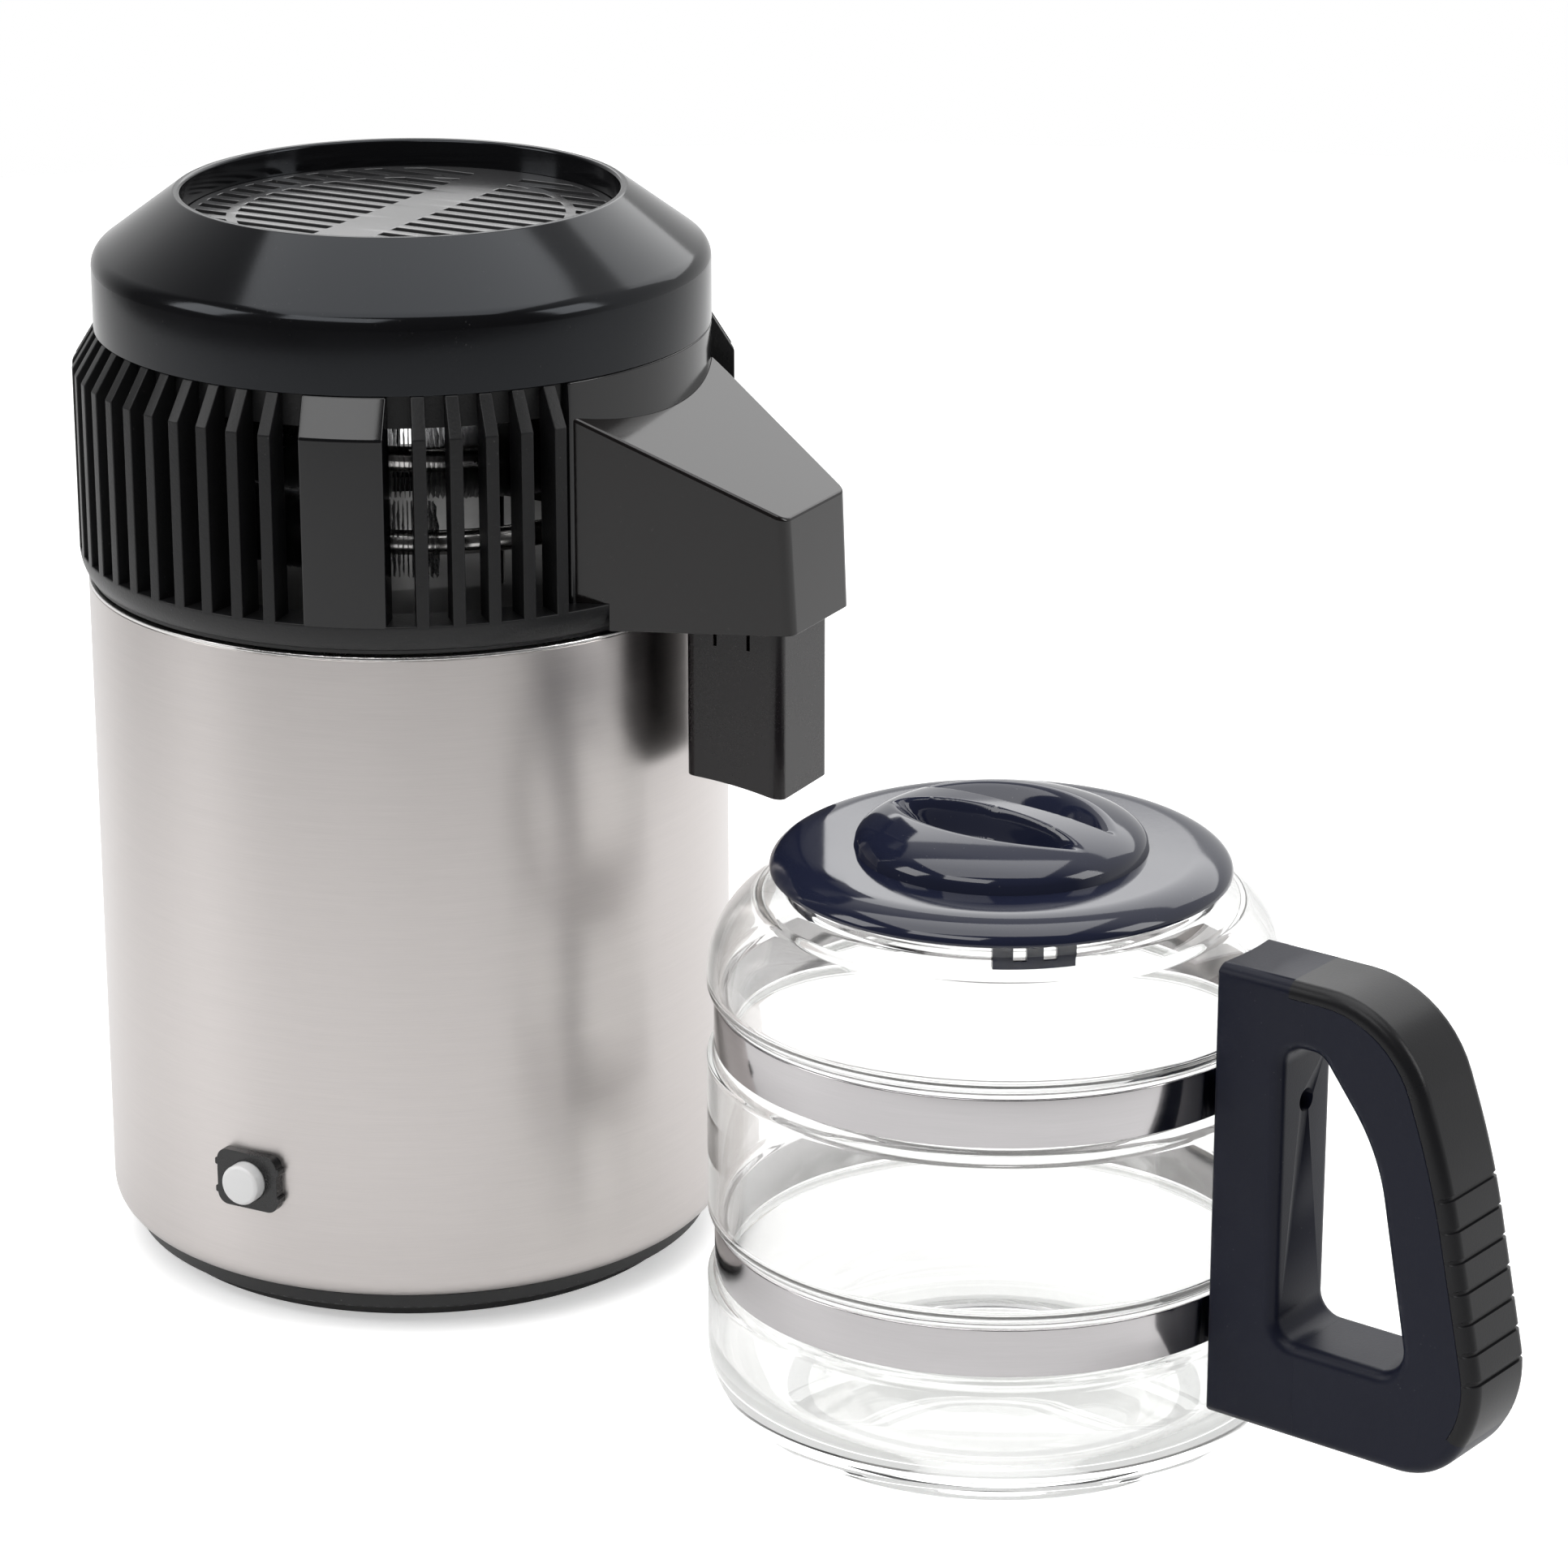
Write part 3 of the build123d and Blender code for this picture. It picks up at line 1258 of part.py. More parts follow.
with BuildPart() as glass_jug:
    with BuildSketch(jug_side_plane):
        with BuildLine():
            Polyline(
                (0, jug_rim_height),
                (0, jug_punt_height),
                (jug_foot_inner_radius - 2 * jug_punt_height, jug_punt_height),
                (jug_foot_inner_radius, 0),
                (jug_radius - jug_base_corner, 0),
            )
            CenterArc((jug_radius - jug_base_corner, jug_base_corner), jug_base_corner, -90, 90)
            FilletPolyline(*grooved_wall(0, jug_base_corner, jug_shoulder_start), radius=groove_round)
            outer_shoulder = CenterArc(
                (shoulder_center, jug_shoulder_start), jug_shoulder_radius, 0, jug_shoulder_sweep
            )
            Polyline(
                outer_shoulder @ 1,
                (jug_neck_radius, neck_bottom),
                (jug_neck_radius, jug_rim_height),
                (0, jug_rim_height),
            )
        make_face()
    revolve(axis=jug_axis)
    add(lip_cone(0))
    add(jug_bore.part, mode=Mode.SUBTRACT)
glass_jug.part.label = "glass_jug"
export_step(glass_jug.part, "parts/glass_jug.step")


def band(level):
    """A steel band lying in its groove round the glass."""
    with BuildPart() as ring:
        with BuildSketch(jug_plane.offset(level - band_height / 2)):
            Circle(band_outer_radius)
            Circle(band_inner_radius, mode=Mode.SUBTRACT)
        extrude(amount=band_height)
    return ring.part


with BuildPart() as upper_band:
    add(band(upper_band_height))
upper_band.part.label = "upper_band"
export_step(upper_band.part, "parts/upper_band.step")

with BuildPart() as lower_band:
    add(band(lower_band_height))
lower_band.part.label = "lower_band"
export_step(lower_band.part, "parts/lower_band.step")

# Handle: outline in the jug's side plane, its finger gap, and a strip round its back
with BuildSketch() as handle_outline:
    with BuildLine():
        FilletPolyline(
            (jug_inner_radius, handle_top),
            (handle_shoulder_reach, handle_top),
            (handle_knee_reach, handle_knee_height),
            (handle_heel_reach, handle_heel_height),
            (handle_toe_reach, handle_bottom),
            (jug_inner_radius, handle_bottom),
            radius=[0, handle_shoulder_round, handle_knee_round, handle_heel_round, handle_toe_round, 0],
            close=True,
        )
    make_face()
with BuildSketch() as strip_outline:
    add(handle_outline.sketch)
    offset(handle_outline.sketch, amount=-strip_thickness, mode=Mode.SUBTRACT)
    with Locations((strip_start_reach, strip_end_height)):
        Rectangle(
            handle_heel_reach, handle_top, align=(Align.MIN, Align.MIN), mode=Mode.INTERSECT
        )
with BuildPart() as handle_form:
    with BuildSketch(jug_side_plane):
        add(handle_outline.sketch)
        with BuildLine():
            FilletPolyline(
                (post_reach, gap_top),
                (gap_top_reach, gap_top),
                (gap_knee_reach, gap_knee_height),
                (gap_heel_reach, gap_bottom),
                (post_reach, gap_bottom),
                radius=gap_round,
                close=True,
            )
        make_face(mode=Mode.SUBTRACT)
    extrude(amount=handle_width / 2, both=True)
    handle_sides = handle_form.faces().filter_by(Axis(jug_center, jug_side_plane.z_dir))
    fillet(handle_sides.edges(), handle_edge_round)
    with BuildSketch(jug_plane):
        Circle(handle_inner_radius)
    extrude(amount=handle_top, mode=Mode.SUBTRACT)

with BuildPart() as handle_body:
    add(handle_form.part)
    with BuildSketch(jug_side_plane):
        add(strip_outline.sketch)
    extrude(amount=handle_width / 2, both=True, mode=Mode.SUBTRACT)
    for band_level in (lower_band_height, upper_band_height):
        with BuildSketch(jug_plane.offset(band_level - band_height / 2)):
            with Locations((band_outer_radius, 0)):
                Rectangle(2 * nut_thickness, boss_width)
            Circle(band_outer_radius, mode=Mode.SUBTRACT)
        extrude(amount=band_height)
    for band_level in (lower_band_height, upper_band_height):
        with BuildSketch(radial_plane(jug_angle, band_outer_radius - band_thickness, jug_center)):
            with Locations((0, band_level)):
                Rectangle(nut_size + 2 * nut_clearance, nut_size + 2 * nut_clearance)
        extrude(amount=band_thickness + nut_thickness + nut_clearance, mode=Mode.SUBTRACT)
        with BuildSketch(radial_plane(jug_angle, band_outer_radius, jug_center)):
            with Locations((0, band_level)):
                Circle(handle_screw_diameter / 2 + nut_clearance)
        extrude(amount=post_reach - band_outer_radius, mode=Mode.SUBTRACT)
        with BuildSketch(radial_plane(jug_angle, post_reach - handle_screw_recess, jug_center)):
            with Locations((0, band_level)):
                Circle(handle_screw_head_diameter / 2 + nut_clearance)
        extrude(amount=handle_screw_recess, mode=Mode.SUBTRACT)
handle_body.part.label = "handle_body"
export_step(handle_body.part, "parts/handle_body.step")

# Grip strip on the handle's back with shallow cross grooves
groove_run = (handle_heel_reach - handle_knee_reach) / (handle_knee_height - handle_heel_height)
with BuildPart() as handle_grip_strip:
    with BuildSketch(jug_side_plane):
        add(strip_outline.sketch)
        for index in range(strip_groove_count):
            share = index / (strip_groove_count - 1)
            level = strip_groove_top + (strip_groove_bottom - strip_groove_top) * share
            with Locations((handle_knee_reach + groove_run * (handle_knee_height - level), level)):
                Rectangle(2 * strip_groove_depth, strip_groove_width, mode=Mode.SUBTRACT)
    extrude(amount=handle_width / 2, both=True)
    add(handle_form.part, mode=Mode.INTERSECT)
handle_grip_strip.part.label = "handle_grip_strip"
export_step(handle_grip_strip.part, "parts/handle_grip_strip.step")

# Nuts behind the bands and the screws that hold the handle to them
with BuildPart() as band_nuts:
    for band_level in (lower_band_height, upper_band_height):
        with BuildSketch(radial_plane(jug_angle, band_outer_radius, jug_center)):
            with Locations((0, band_level)):
                Rectangle(nut_size, nut_size)
                Circle(handle_screw_diameter / 2 + thread_clearance, mode=Mode.SUBTRACT)
        extrude(amount=nut_thickness)
band_nuts.part.label = "band_nuts"
export_step(band_nuts.part, "parts/band_nuts.step")

handle_screw_seat = post_reach - handle_screw_recess
with BuildPart() as handle_screws:
    for band_level in (lower_band_height, upper_band_height):
        with BuildSketch(radial_plane(jug_angle, band_outer_radius + nut_clearance, jug_center)):
            with Locations((0, band_level)):
                Circle(handle_screw_diameter / 2)
        extrude(amount=handle_screw_seat - band_outer_radius - nut_clearance)
        with BuildSketch(radial_plane(jug_angle, handle_screw_seat, jug_center)):
            with Locations((0, band_level)):
                Circle(handle_screw_head_diameter / 2)
        extrude(amount=handle_screw_head_height)
handle_screws.part.label = "handle_screws"
export_step(handle_screws.part, "parts/handle_screws.step")

# Jug lid: flange, round knob with two finger hollows and a bar between them, plug ring and four tabs
plug_radius = jug_neck_radius - jug_wall - lid_plug_gap
knob_top = lid_top + knob_height
with BuildPart() as jug_lid:
    with BuildSketch(jug_plane.offset(jug_rim_height)):
        Circle(lid_radius)
    extrude(amount=lid_flange_thickness)
    fillet(jug_lid.edges(), lid_edge_round)
    with BuildSketch(jug_plane.offset(lid_top)):
        Circle(knob_radius)
    extrude(amount=knob_height)
    fillet(jug_lid.edges().group_by(Axis.Z)[-1], knob_round)
    with BuildSketch(jug_plane.offset(knob_top)):
        hollow_center = knob_hollow_side_radius + knob_bar_width / 2
        with Locations((0, hollow_center), (0, -hollow_center)):
            Circle(knob_hollow_side_radius)
        Circle(knob_hollow_radius, mode=Mode.INTERSECT)
    extrude(amount=-knob_hollow_depth, taper=knob_hollow_taper, mode=Mode.SUBTRACT)
    with BuildSketch(jug_plane.offset(jug_rim_height)):
        Circle(plug_radius)
        Circle(plug_radius - lid_plug_wall, mode=Mode.SUBTRACT)
    extrude(amount=-lid_plug_depth)
    with BuildSketch(jug_plane.offset(jug_rim_height)):
        with PolarLocations(plug_radius, tab_count, start_angle=tab_angle):
            Rectangle(plug_radius, tab_width)
        Circle(plug_radius, mode=Mode.INTERSECT)
        Circle(plug_radius - lid_plug_wall, mode=Mode.SUBTRACT)
    extrude(amount=-tab_depth)
    for index in range(tab_count):
        turn = jug_angle + tab_angle + index * 360 / tab_count
        with BuildSketch(radial_plane(turn, plug_radius / 2, jug_center)):
            with Locations((0, jug_rim_height - lid_plug_depth - tab_slot_height / 2)):
                with GridLocations(tab_slot_spacing, 0, 2, 1):
                    Rectangle(tab_slot_width, tab_slot_height)
        extrude(amount=plug_radius, mode=Mode.SUBTRACT)
jug_lid.part.label = "jug_lid"
export_step(jug_lid.part, "parts/jug_lid.step")
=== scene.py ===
"""Surfaces, finishes and studio stage of a countertop water distiller with its glass jug."""

import math

import bmesh
import bpy
import numpy as np
from bpy.props import FloatProperty, FloatVectorProperty, IntProperty, PointerProperty
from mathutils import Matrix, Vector


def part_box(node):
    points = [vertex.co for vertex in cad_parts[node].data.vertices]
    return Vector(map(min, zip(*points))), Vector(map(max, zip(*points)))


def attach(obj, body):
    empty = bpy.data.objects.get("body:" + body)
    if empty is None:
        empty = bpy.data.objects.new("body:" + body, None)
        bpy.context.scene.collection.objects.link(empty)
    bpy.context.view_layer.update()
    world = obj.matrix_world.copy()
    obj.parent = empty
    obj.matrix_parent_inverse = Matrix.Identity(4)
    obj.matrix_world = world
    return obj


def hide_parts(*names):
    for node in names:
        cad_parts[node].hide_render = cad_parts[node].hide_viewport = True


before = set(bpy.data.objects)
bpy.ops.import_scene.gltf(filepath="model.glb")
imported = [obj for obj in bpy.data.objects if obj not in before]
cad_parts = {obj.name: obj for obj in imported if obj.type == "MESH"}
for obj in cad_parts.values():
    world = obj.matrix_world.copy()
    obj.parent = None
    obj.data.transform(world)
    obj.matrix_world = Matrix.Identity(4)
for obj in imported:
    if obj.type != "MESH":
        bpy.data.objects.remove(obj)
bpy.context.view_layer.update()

bl_info = {
    "name": "Water distiller looks",
    "version": (1, 0, 0),
    "blender": (4, 5, 0),
    "location": "View3D > Sidebar > Distiller",
    "description": "Dresses the packed parts of a countertop water distiller and its glass jug",
    "category": "Object",
}

# Sizes of the pieces in millimetres, and angles in degrees unless turned into radians here
MM = 0.001
JUG_DISTANCE = 242.0
JUG_ANGLE = math.radians(-10.0)
JUG_CENTRE = (JUG_DISTANCE * math.cos(JUG_ANGLE), JUG_DISTANCE * math.sin(JUG_ANGLE))
SHELL_RADIUS = 105.5
SHELL_TOP = 232.0
SHELL_BOTTOM = 12.0
SHELL_WALL = 0.8
SHELL_LIP = 80.0
SHELL_CORNER = 9.0
# Angle, half width, level and half height of each opening
SHELL_OPENINGS = ((-90.0, 9.1, 51.5, 8.1), (90.0, 12.4, 36.0, 8.6), (69.0, 7.6, 36.0, 5.1))
VENT_RADIUS = 108.0
VENT_INNER = 97.8
VENT_BOTTOM = 233.95
BAND_TOP = 243.95
FIN_ROOT = BAND_TOP - 1.0
FIN_TOP = 303.95
VENT_TOP = 315.95
COLLAR_INNER = 93.2
COLLAR_BOTTOM = 305.0
COLLAR_TOP = 321.95
DOME_RADIUS = 100.6
DOME_SHOULDER = 339.95
DOME_TOP = 359.95
RIM_RADIUS = 73.5
RIM_OPENING = 71.0
GRILLE_BOTTOM = 347.95
POST_ANGLES = (-69.0, 69.0, 180.0)
POST_WIDTH = 26.5
PANEL_HALF = 46.5
FIN_WIDTH = 4.2
FIN_PITCH = 6.0
JUG_RADIUS = 91.0
JUG_WALL = 3.2
NECK_RADIUS = 67.0
BAND_LEVELS = (56.0, 130.5245)
BAND_HALF = 7.75
BAND_RADIUS = 88.8
BAND_SHEET = 0.8
GROOVE_DEPTH = 3.1
GROOVE_EASE = (0.6, 4.3)
GROOVE_INSET = 1.33
GROOVE_LIMIT = 80.0
WALL_STEPS = 140
LID_RADIUS = 71.5
KNOB_RADIUS = 45.5
KNOB_TOP = 200.0
LID_SPLIT = 180.2
LID_OVERLAP = 0.4
FLANGE_TOP = 186.5
FLANGE_FLAT = 60.0
HANDLE_HALF = 15.0
HANDLE_ROUND = 4.0
ARCH_START = 121.0
STRIP_START = 115.0
STRIP_DEPTH = 5.0
ARCH_BACK = ((ARCH_START, 173.0), (153.0, 173.0), (171.0, 124.0), (186.0, 52.0), (171.0, 26.0),
             (ARCH_START, 26.0))
ARCH_BACK_ROUNDS = (0, 38.0, 250.0, 36.0, 24.0, 0)
ARCH_GAP = ((ARCH_START, 152.0), (126.0, 152.0), (146.0, 126.0), (159.0, 57.0), (ARCH_START, 57.0))
ARCH_GAP_ROUNDS = (0, 6.0, 60.0, 8.0, 0)
ARC_STEPS = 12
# First level, last level and number of the grooves
GRIP_GROOVES = (118.0, 62.0, 7)
GROOVE_CUT = 0.8
SHARP_ROUND = 0.3
BAND_BOW = 14.957
BAND_DROP = 8.5
RING_FOOT = 104.6
RING_LIP = 1.5
SEAT_RADIUS = 100.6
SEAT_LEVEL = 235.8
DOME_INNER = 98.0
DOME_INNER_SHOULDER = 338.5
DOME_INNER_TOP = 356.6
GRILLE_SEAT = 68.0
SEAT_BOTTOM = 345.45
COIL_RADIUS = 80.0
COIL_TOP = 310.8
COIL_PITCH = 26.0
COIL_START = 20.0
COIL_FIN_SPAN = (36.0, 668.0)
COIL_FIN_RADII = (3.9, 12.3, 3.9)
COIL_FIN_EDGE = 0.2
COIL_FIN_STEPS = 20
LIP_START = 160.0
LIP_FOOT = 163.0
LIP_RISE = 16.0
LIP_REACH = 39.0
LIP_THROW = 17.0
LIP_RADIUS = 20.0
LIP_SOFT = 1.5
SCOOP_DEPTH = 11.0
# Radius, offset and ease of the bar's wall and of the scoop's rim
SCOOP_WALL = (150.0, 153.0, 3.5)
SCOOP_RIM = (47.5, 20.5, 14.0)
LID_STEPS = 360
KNOB_POWER = 2.3
FLANGE_POWER = 1.8
PILLOW_POWER = 2.6

# Stage in metres, with angles in degrees and the lens in millimetres
CAMERA_PLACE = (0.8985, -1.4337, 0.7373)
CAMERA_TURN = (70.965, 0.0, 27.868)
CAMERA_SENSOR = 36.0
CAMERA_LENS = 121.9
FLOOR_RADIUS = 1.6
FLOOR_CENTRE = (0.1, 0.2)
FLOOR_STEPS = 96
FLOOR_GLOW = 0.45
# Name, place, target, size and power of each lamp
LAMPS = (
    ("top_box", (0.05, -0.1, 1.9), (0.0, 0.0, 0.3), (1.9, 1.5), 26.0),
    ("key_box", (-1.5, -1.3, 1.3), (0.05, 0.0, 0.15), (0.9, 1.2), 15.0),
    ("side_box", (1.9, 0.3, 1.2), (0.1, 0.0, 0.2), (0.7, 1.1), 11.0),
    ("front_box", (0.05, -1.5, 1.85), (0.05, 0.0, 0.3), (1.2, 0.7), 11.0),
    ("back_box", (-0.15, 2.0, 1.6), (0.1, 0.0, 0.3), (3.0, 1.3), 24.0),
)

# Name, colour and range of roughness of the finish that all fasteners share
PLATED = ("plated_screws", (0.62, 0.62, 0.61), 0.2, 0.34)


# Numpy surface helpers

def rounded(points, radii, steps=7):
    """A closed outline with each corner replaced by an arc tangent to its two sides."""
    points = np.asarray(points, float)
    run = []
    for here, before, after, radius in zip(points, np.roll(points, 1, 0), np.roll(points, -1, 0), radii):
        if radius <= 0:
            run.append(here[None])
            continue
        to_before = (before - here) / np.linalg.norm(before - here)
        to_after = (after - here) / np.linalg.norm(after - here)
        half = math.acos(np.clip(to_before @ to_after, -1, 1)) / 2
        middle = (to_before + to_after) / np.linalg.norm(to_before + to_after)
        centre = here + middle * radius / math.sin(half)
        start = here + to_before * radius / math.tan(half) - centre
        end = here + to_after * radius / math.tan(half) - centre
        sweep = math.pi - 2 * half
        t = np.linspace(0, 1, steps)[:, None]
        run.append(centre + (start * np.sin((1 - t) * sweep) + end * np.sin(t * sweep)) / math.sin(sweep))
    return np.concatenate(run)


def circle(steps):
    """Angles of even steps round a full turn."""
    return np.linspace(0, 2 * np.pi, steps, endpoint=False)


def grid_quads(rows, columns, wrap_rows=False, wrap_columns=False):
    """Four-cornered faces of a grid of points numbered row by row, joined across its ends where it wraps."""
    i = np.arange(rows if wrap_rows else rows - 1)[:, None]
    j = np.arange(columns if wrap_columns else columns - 1)[None, :]
    i_next, j_next = (i + 1) % rows, (j + 1) % columns
    corners = (i * columns + j, i * columns + j_next, i_next * columns + j_next, i_next * columns + j)
    return np.stack([np.broadcast_to(c, (i.size, j.size)) for c in corners], -1).reshape(-1, 4)


def capped(rows, columns):
    """Faces of a tube of rings, with its first and last ring closed."""
    faces = grid_quads(rows, columns, False, True).tolist()
    return faces + [list(range(columns)), list(range((rows - 1) * columns, rows * columns))[::-1]]


def stacked(x, y, z):
    """Points from three arrays of coordinates, spread to one shape."""
    return np.stack(np.broadcast_arrays(x, y, z), -1)


def revolve(profile, turns=192, centre=(0.0, 0.0), angle=None):
    """A closed profile of radius and height turned about an upright axis, at even steps or given angles."""
    profile = np.asarray(profile, float)
    if angle is None:
        angle = circle(turns)
    x = centre[0] + profile[:, :1] * np.cos(angle)
    y = centre[1] + profile[:, :1] * np.sin(angle)
    points = stacked(x, y, profile[:, 1:]).reshape(-1, 3)
    return points, grid_quads(len(profile), len(angle), True, True).tolist()


def chord_block(outline, half_width, angle, steps):
    """An outline of radius and height carried sideways between two parallel planes, kept on its own radii."""
    outline = np.asarray(outline, float)
    side = np.linspace(-half_width, half_width, steps)[:, None]
    out = np.sqrt(outline[:, 0] ** 2 - side ** 2)
    turn = math.radians(angle)
    x = out * math.cos(turn) - side * math.sin(turn)
    y = out * math.sin(turn) + side * math.cos(turn)
    return stacked(x, y, outline[:, 1]).reshape(-1, 3), capped(steps, len(outline))


def joined(*parts):
    """Several lists of points and faces as one, with the faces' numbers moved up."""
    points, faces, start = [], [], 0
    for part_points, part_faces in parts:
        points.append(part_points)
        faces += [[index + start for index in face] for face in part_faces]
        start += len(part_points)
    return np.concatenate(points), faces


def jug_place(points):
    """Points in the jug's own frame, with x away from the boiler, moved to where the jug stands."""
    c, s = math.cos(JUG_ANGLE), math.sin(JUG_ANGLE)
    x, y, z = points[..., 0], points[..., 1], points[..., 2]
    return np.stack([JUG_CENTRE[0] + x * c - y * s, JUG_CENTRE[1] + x * s + y * c, z], -1)


def smooth_step(low, high, value):
    """Zero below low, one above high, and a cubic ease between them."""
    t = np.clip((value - low) / (high - low), 0, 1)
    return t * t * (3 - 2 * t)


# Pieces

def settle(piece, body, node):
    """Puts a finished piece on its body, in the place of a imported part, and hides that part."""
    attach(piece, body)
    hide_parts(node)
    return piece


def new_piece(name, surface, material, body, node, crease=30.0, bevel=0.0):
    """A mesh of points in millimetres and faces, merged and facing outwards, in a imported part's place."""
    points, faces = surface
    mesh = bpy.data.meshes.new(name)
    mesh.from_pydata((np.asarray(points) * MM).tolist(), [], faces)
    cleaned(mesh, True)
    return settle(finished(name, mesh, material, crease, bevel), body, node)


def cleaned(mesh, recalc, flat=False):
    """Merges doubled points, joins facets that lie in one plane if asked, and turns faces outwards."""
    work = bmesh.new()
    work.from_mesh(mesh)
    bmesh.ops.remove_doubles(work, verts=work.verts, dist=1e-6)
    bmesh.ops.dissolve_degenerate(work, edges=work.edges, dist=1e-7)
    if flat:
        bmesh.ops.dissolve_limit(work, angle_limit=math.radians(0.4), verts=work.verts, edges=work.edges)
    if recalc:
        bmesh.ops.recalc_face_normals(work, faces=work.faces)
    work.to_mesh(mesh)
    work.free()


def finished(name, mesh, material, crease, bevel):
    """A smooth-shaded object of a mesh, sharp past the crease angle, with rounded edges if asked."""
    mesh.polygons.foreach_set("use_smooth", np.ones(len(mesh.polygons), bool))
    mesh.set_sharp_from_angle(angle=math.radians(crease))
    mesh.materials.clear()
    mesh.materials.append(material)
    piece = bpy.data.objects.new(name, mesh)
    bpy.context.scene.collection.objects.link(piece)
    if bevel > 0:
        edge = piece.modifiers.new("rounded_edges", "BEVEL")
        edge.width = bevel * MM
        edge.segments = 2
        edge.limit_method = "ANGLE"
        edge.angle_limit = math.radians(crease)
        edge.miter_outer = "MITER_ARC"
        normals = piece.modifiers.new("even_normals", "WEIGHTED_NORMAL")
        normals.keep_sharp = False
    return piece


def dress(node, material, body, crease=30.0, bevel=0.0, flat=True, cut=None):
    """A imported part's own mesh, merged, smooth-shaded and cut at a plane if asked, in that part's place."""
    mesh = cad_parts[node].data.copy()
    cleaned(mesh, False, flat)
    piece = finished(node + "_finish", mesh, material, crease, bevel)
    if cut:
        trimmed(piece, *cut)
    settle(piece, body, node)


def trimmed(piece, place, normal):
    """Cuts away what lies beyond a plane and closes the cut."""
    work = bmesh.new()
    work.from_mesh(piece.data)
    cut = bmesh.ops.bisect_plane(work, geom=[*work.verts, *work.edges, *work.faces], plane_co=place,
                                 plane_no=normal, clear_outer=True)
    bmesh.ops.triangle_fill(work, use_beauty=True, use_dissolve=False, normal=normal,
                            edges=[edge for edge in cut["geom_cut"] if isinstance(edge, bmesh.types.BMEdge)])
    work.to_mesh(piece.data)
    work.free()


def paint(material, *nodes):
    """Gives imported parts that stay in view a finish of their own."""
    for node in nodes:
        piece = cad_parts[node]
        if piece.material_slots:
            piece.material_slots[0].material = material
        else:
            piece.data.materials.append(material)


# Shader node groups

def feed(tree, socket, value):
    """Links a socket to the one given, or sets it to the plain value given."""
    if isinstance(value, bpy.types.NodeSocket):
        tree.links.new(value, socket)
    else:
        socket.default_value = value


def new_node(tree, kind, **inputs):
    """A shader node of a kind with its named inputs fed."""
    node = tree.nodes.new("ShaderNode" + kind)
    for label, value in inputs.items():
        feed(tree, node.inputs[label.replace("_", " ")], value)
    return node


def new_group(name, inputs, outputs):
    """An empty shader node group with its named numbers in and out, and its two end nodes."""
    group = bpy.data.node_groups.new(name, "ShaderNodeTree")
    for label, default in inputs.items():
        socket = group.interface.new_socket(label, in_out="INPUT", socket_type="NodeSocketFloat")
        socket.default_value = default
    for label in outputs:
        group.interface.new_socket(label, in_out="OUTPUT", socket_type="NodeSocketFloat")
    return group, group.nodes.new("NodeGroupInput"), group.nodes.new("NodeGroupOutput")


def math_node(tree, operation, first, second):
    """A Math node whose two inputs are sockets or plain numbers."""
    node = tree.nodes.new("ShaderNodeMath")
    node.operation = operation
    feed(tree, node.inputs[0], first)
    feed(tree, node.inputs[1], second)
    return node.outputs[0]


def range_node(tree, value, low, high, out_low, out_high):
    """A Map Range node from one span of values to another, clamped at its ends."""
    return new_node(tree, "MapRange", Value=value, From_Min=low, From_Max=high, To_Min=out_low,
                    To_Max=out_high).outputs[0]


def mix_node(tree, factor, first, second):
    """A Mix node between two colours, each a socket or three plain numbers."""
    node = tree.nodes.new("ShaderNodeMix")
    node.data_type = "RGBA"
    feed(tree, node.inputs["Factor"], factor)
    for label, value in (("A", first), ("B", second)):
        feed(tree, node.inputs[label], value if isinstance(value, bpy.types.NodeSocket) else (*value, 1))
    return node.outputs["Result"]


def noise_node(tree, vector, scale, detail, rough=0.55):
    """A Noise Texture read at a vector, its scale a number or a socket."""
    return new_node(tree, "TexNoise", Vector=vector, Scale=scale, Detail=detail, Roughness=rough).outputs[0]


def grain_group():
    """Moulded grain: fine noise for height, and slow noise that shifts the gloss from place to place."""
    group, start, end = new_group(
        "moulded_grain", {"Grain Scale": 1400.0, "Cloud Scale": 18.0, "Low": 0.3, "High": 0.45},
        ("Height", "Gloss", "Cloud"))
    place = new_node(group, "TexCoord").outputs["Object"]
    fine = noise_node(group, place, start.outputs["Grain Scale"], 2.0)
    cloud = noise_node(group, place, start.outputs["Cloud Scale"], 4.0)
    mixed = math_node(group, "ADD", math_node(group, "MULTIPLY", cloud, 0.75),
                      math_node(group, "MULTIPLY", fine, 0.25))
    feed(group, end.inputs["Height"], fine)
    feed(group, end.inputs["Gloss"],
         range_node(group, mixed, 0.3, 0.7, start.outputs["Low"], start.outputs["High"]))
    feed(group, end.inputs["Cloud"], cloud)
    return group


def brush_group():
    """Brushed lines round an upright axis: noise read at the turn angle, slowly, and at the height, fast."""
    group, start, end = new_group(
        "round_brushing", {"Centre X": 0.0, "Centre Y": 0.0, "Line Scale": 2600.0}, ("Lines", "Streaks"))
    split = new_node(group, "SeparateXYZ", Vector=new_node(group, "TexCoord").outputs["Object"])
    x = math_node(group, "SUBTRACT", split.outputs[0], start.outputs["Centre X"])
    y = math_node(group, "SUBTRACT", split.outputs[1], start.outputs["Centre Y"])
    angle = math_node(group, "ARCTAN2", y, x)
    height = math_node(group, "MULTIPLY", split.outputs[2], start.outputs["Line Scale"])
    for label, turn_scale, height_share in (("Lines", 5.0, 1.0), ("Streaks", 1.3, 0.12)):
        join = new_node(group, "CombineXYZ", X=math_node(group, "MULTIPLY", angle, turn_scale),
                        Z=math_node(group, "MULTIPLY", height, height_share))
        feed(group, end.inputs[label], noise_node(group, join.outputs[0], 1.0, 4.0, 0.65))
    return group


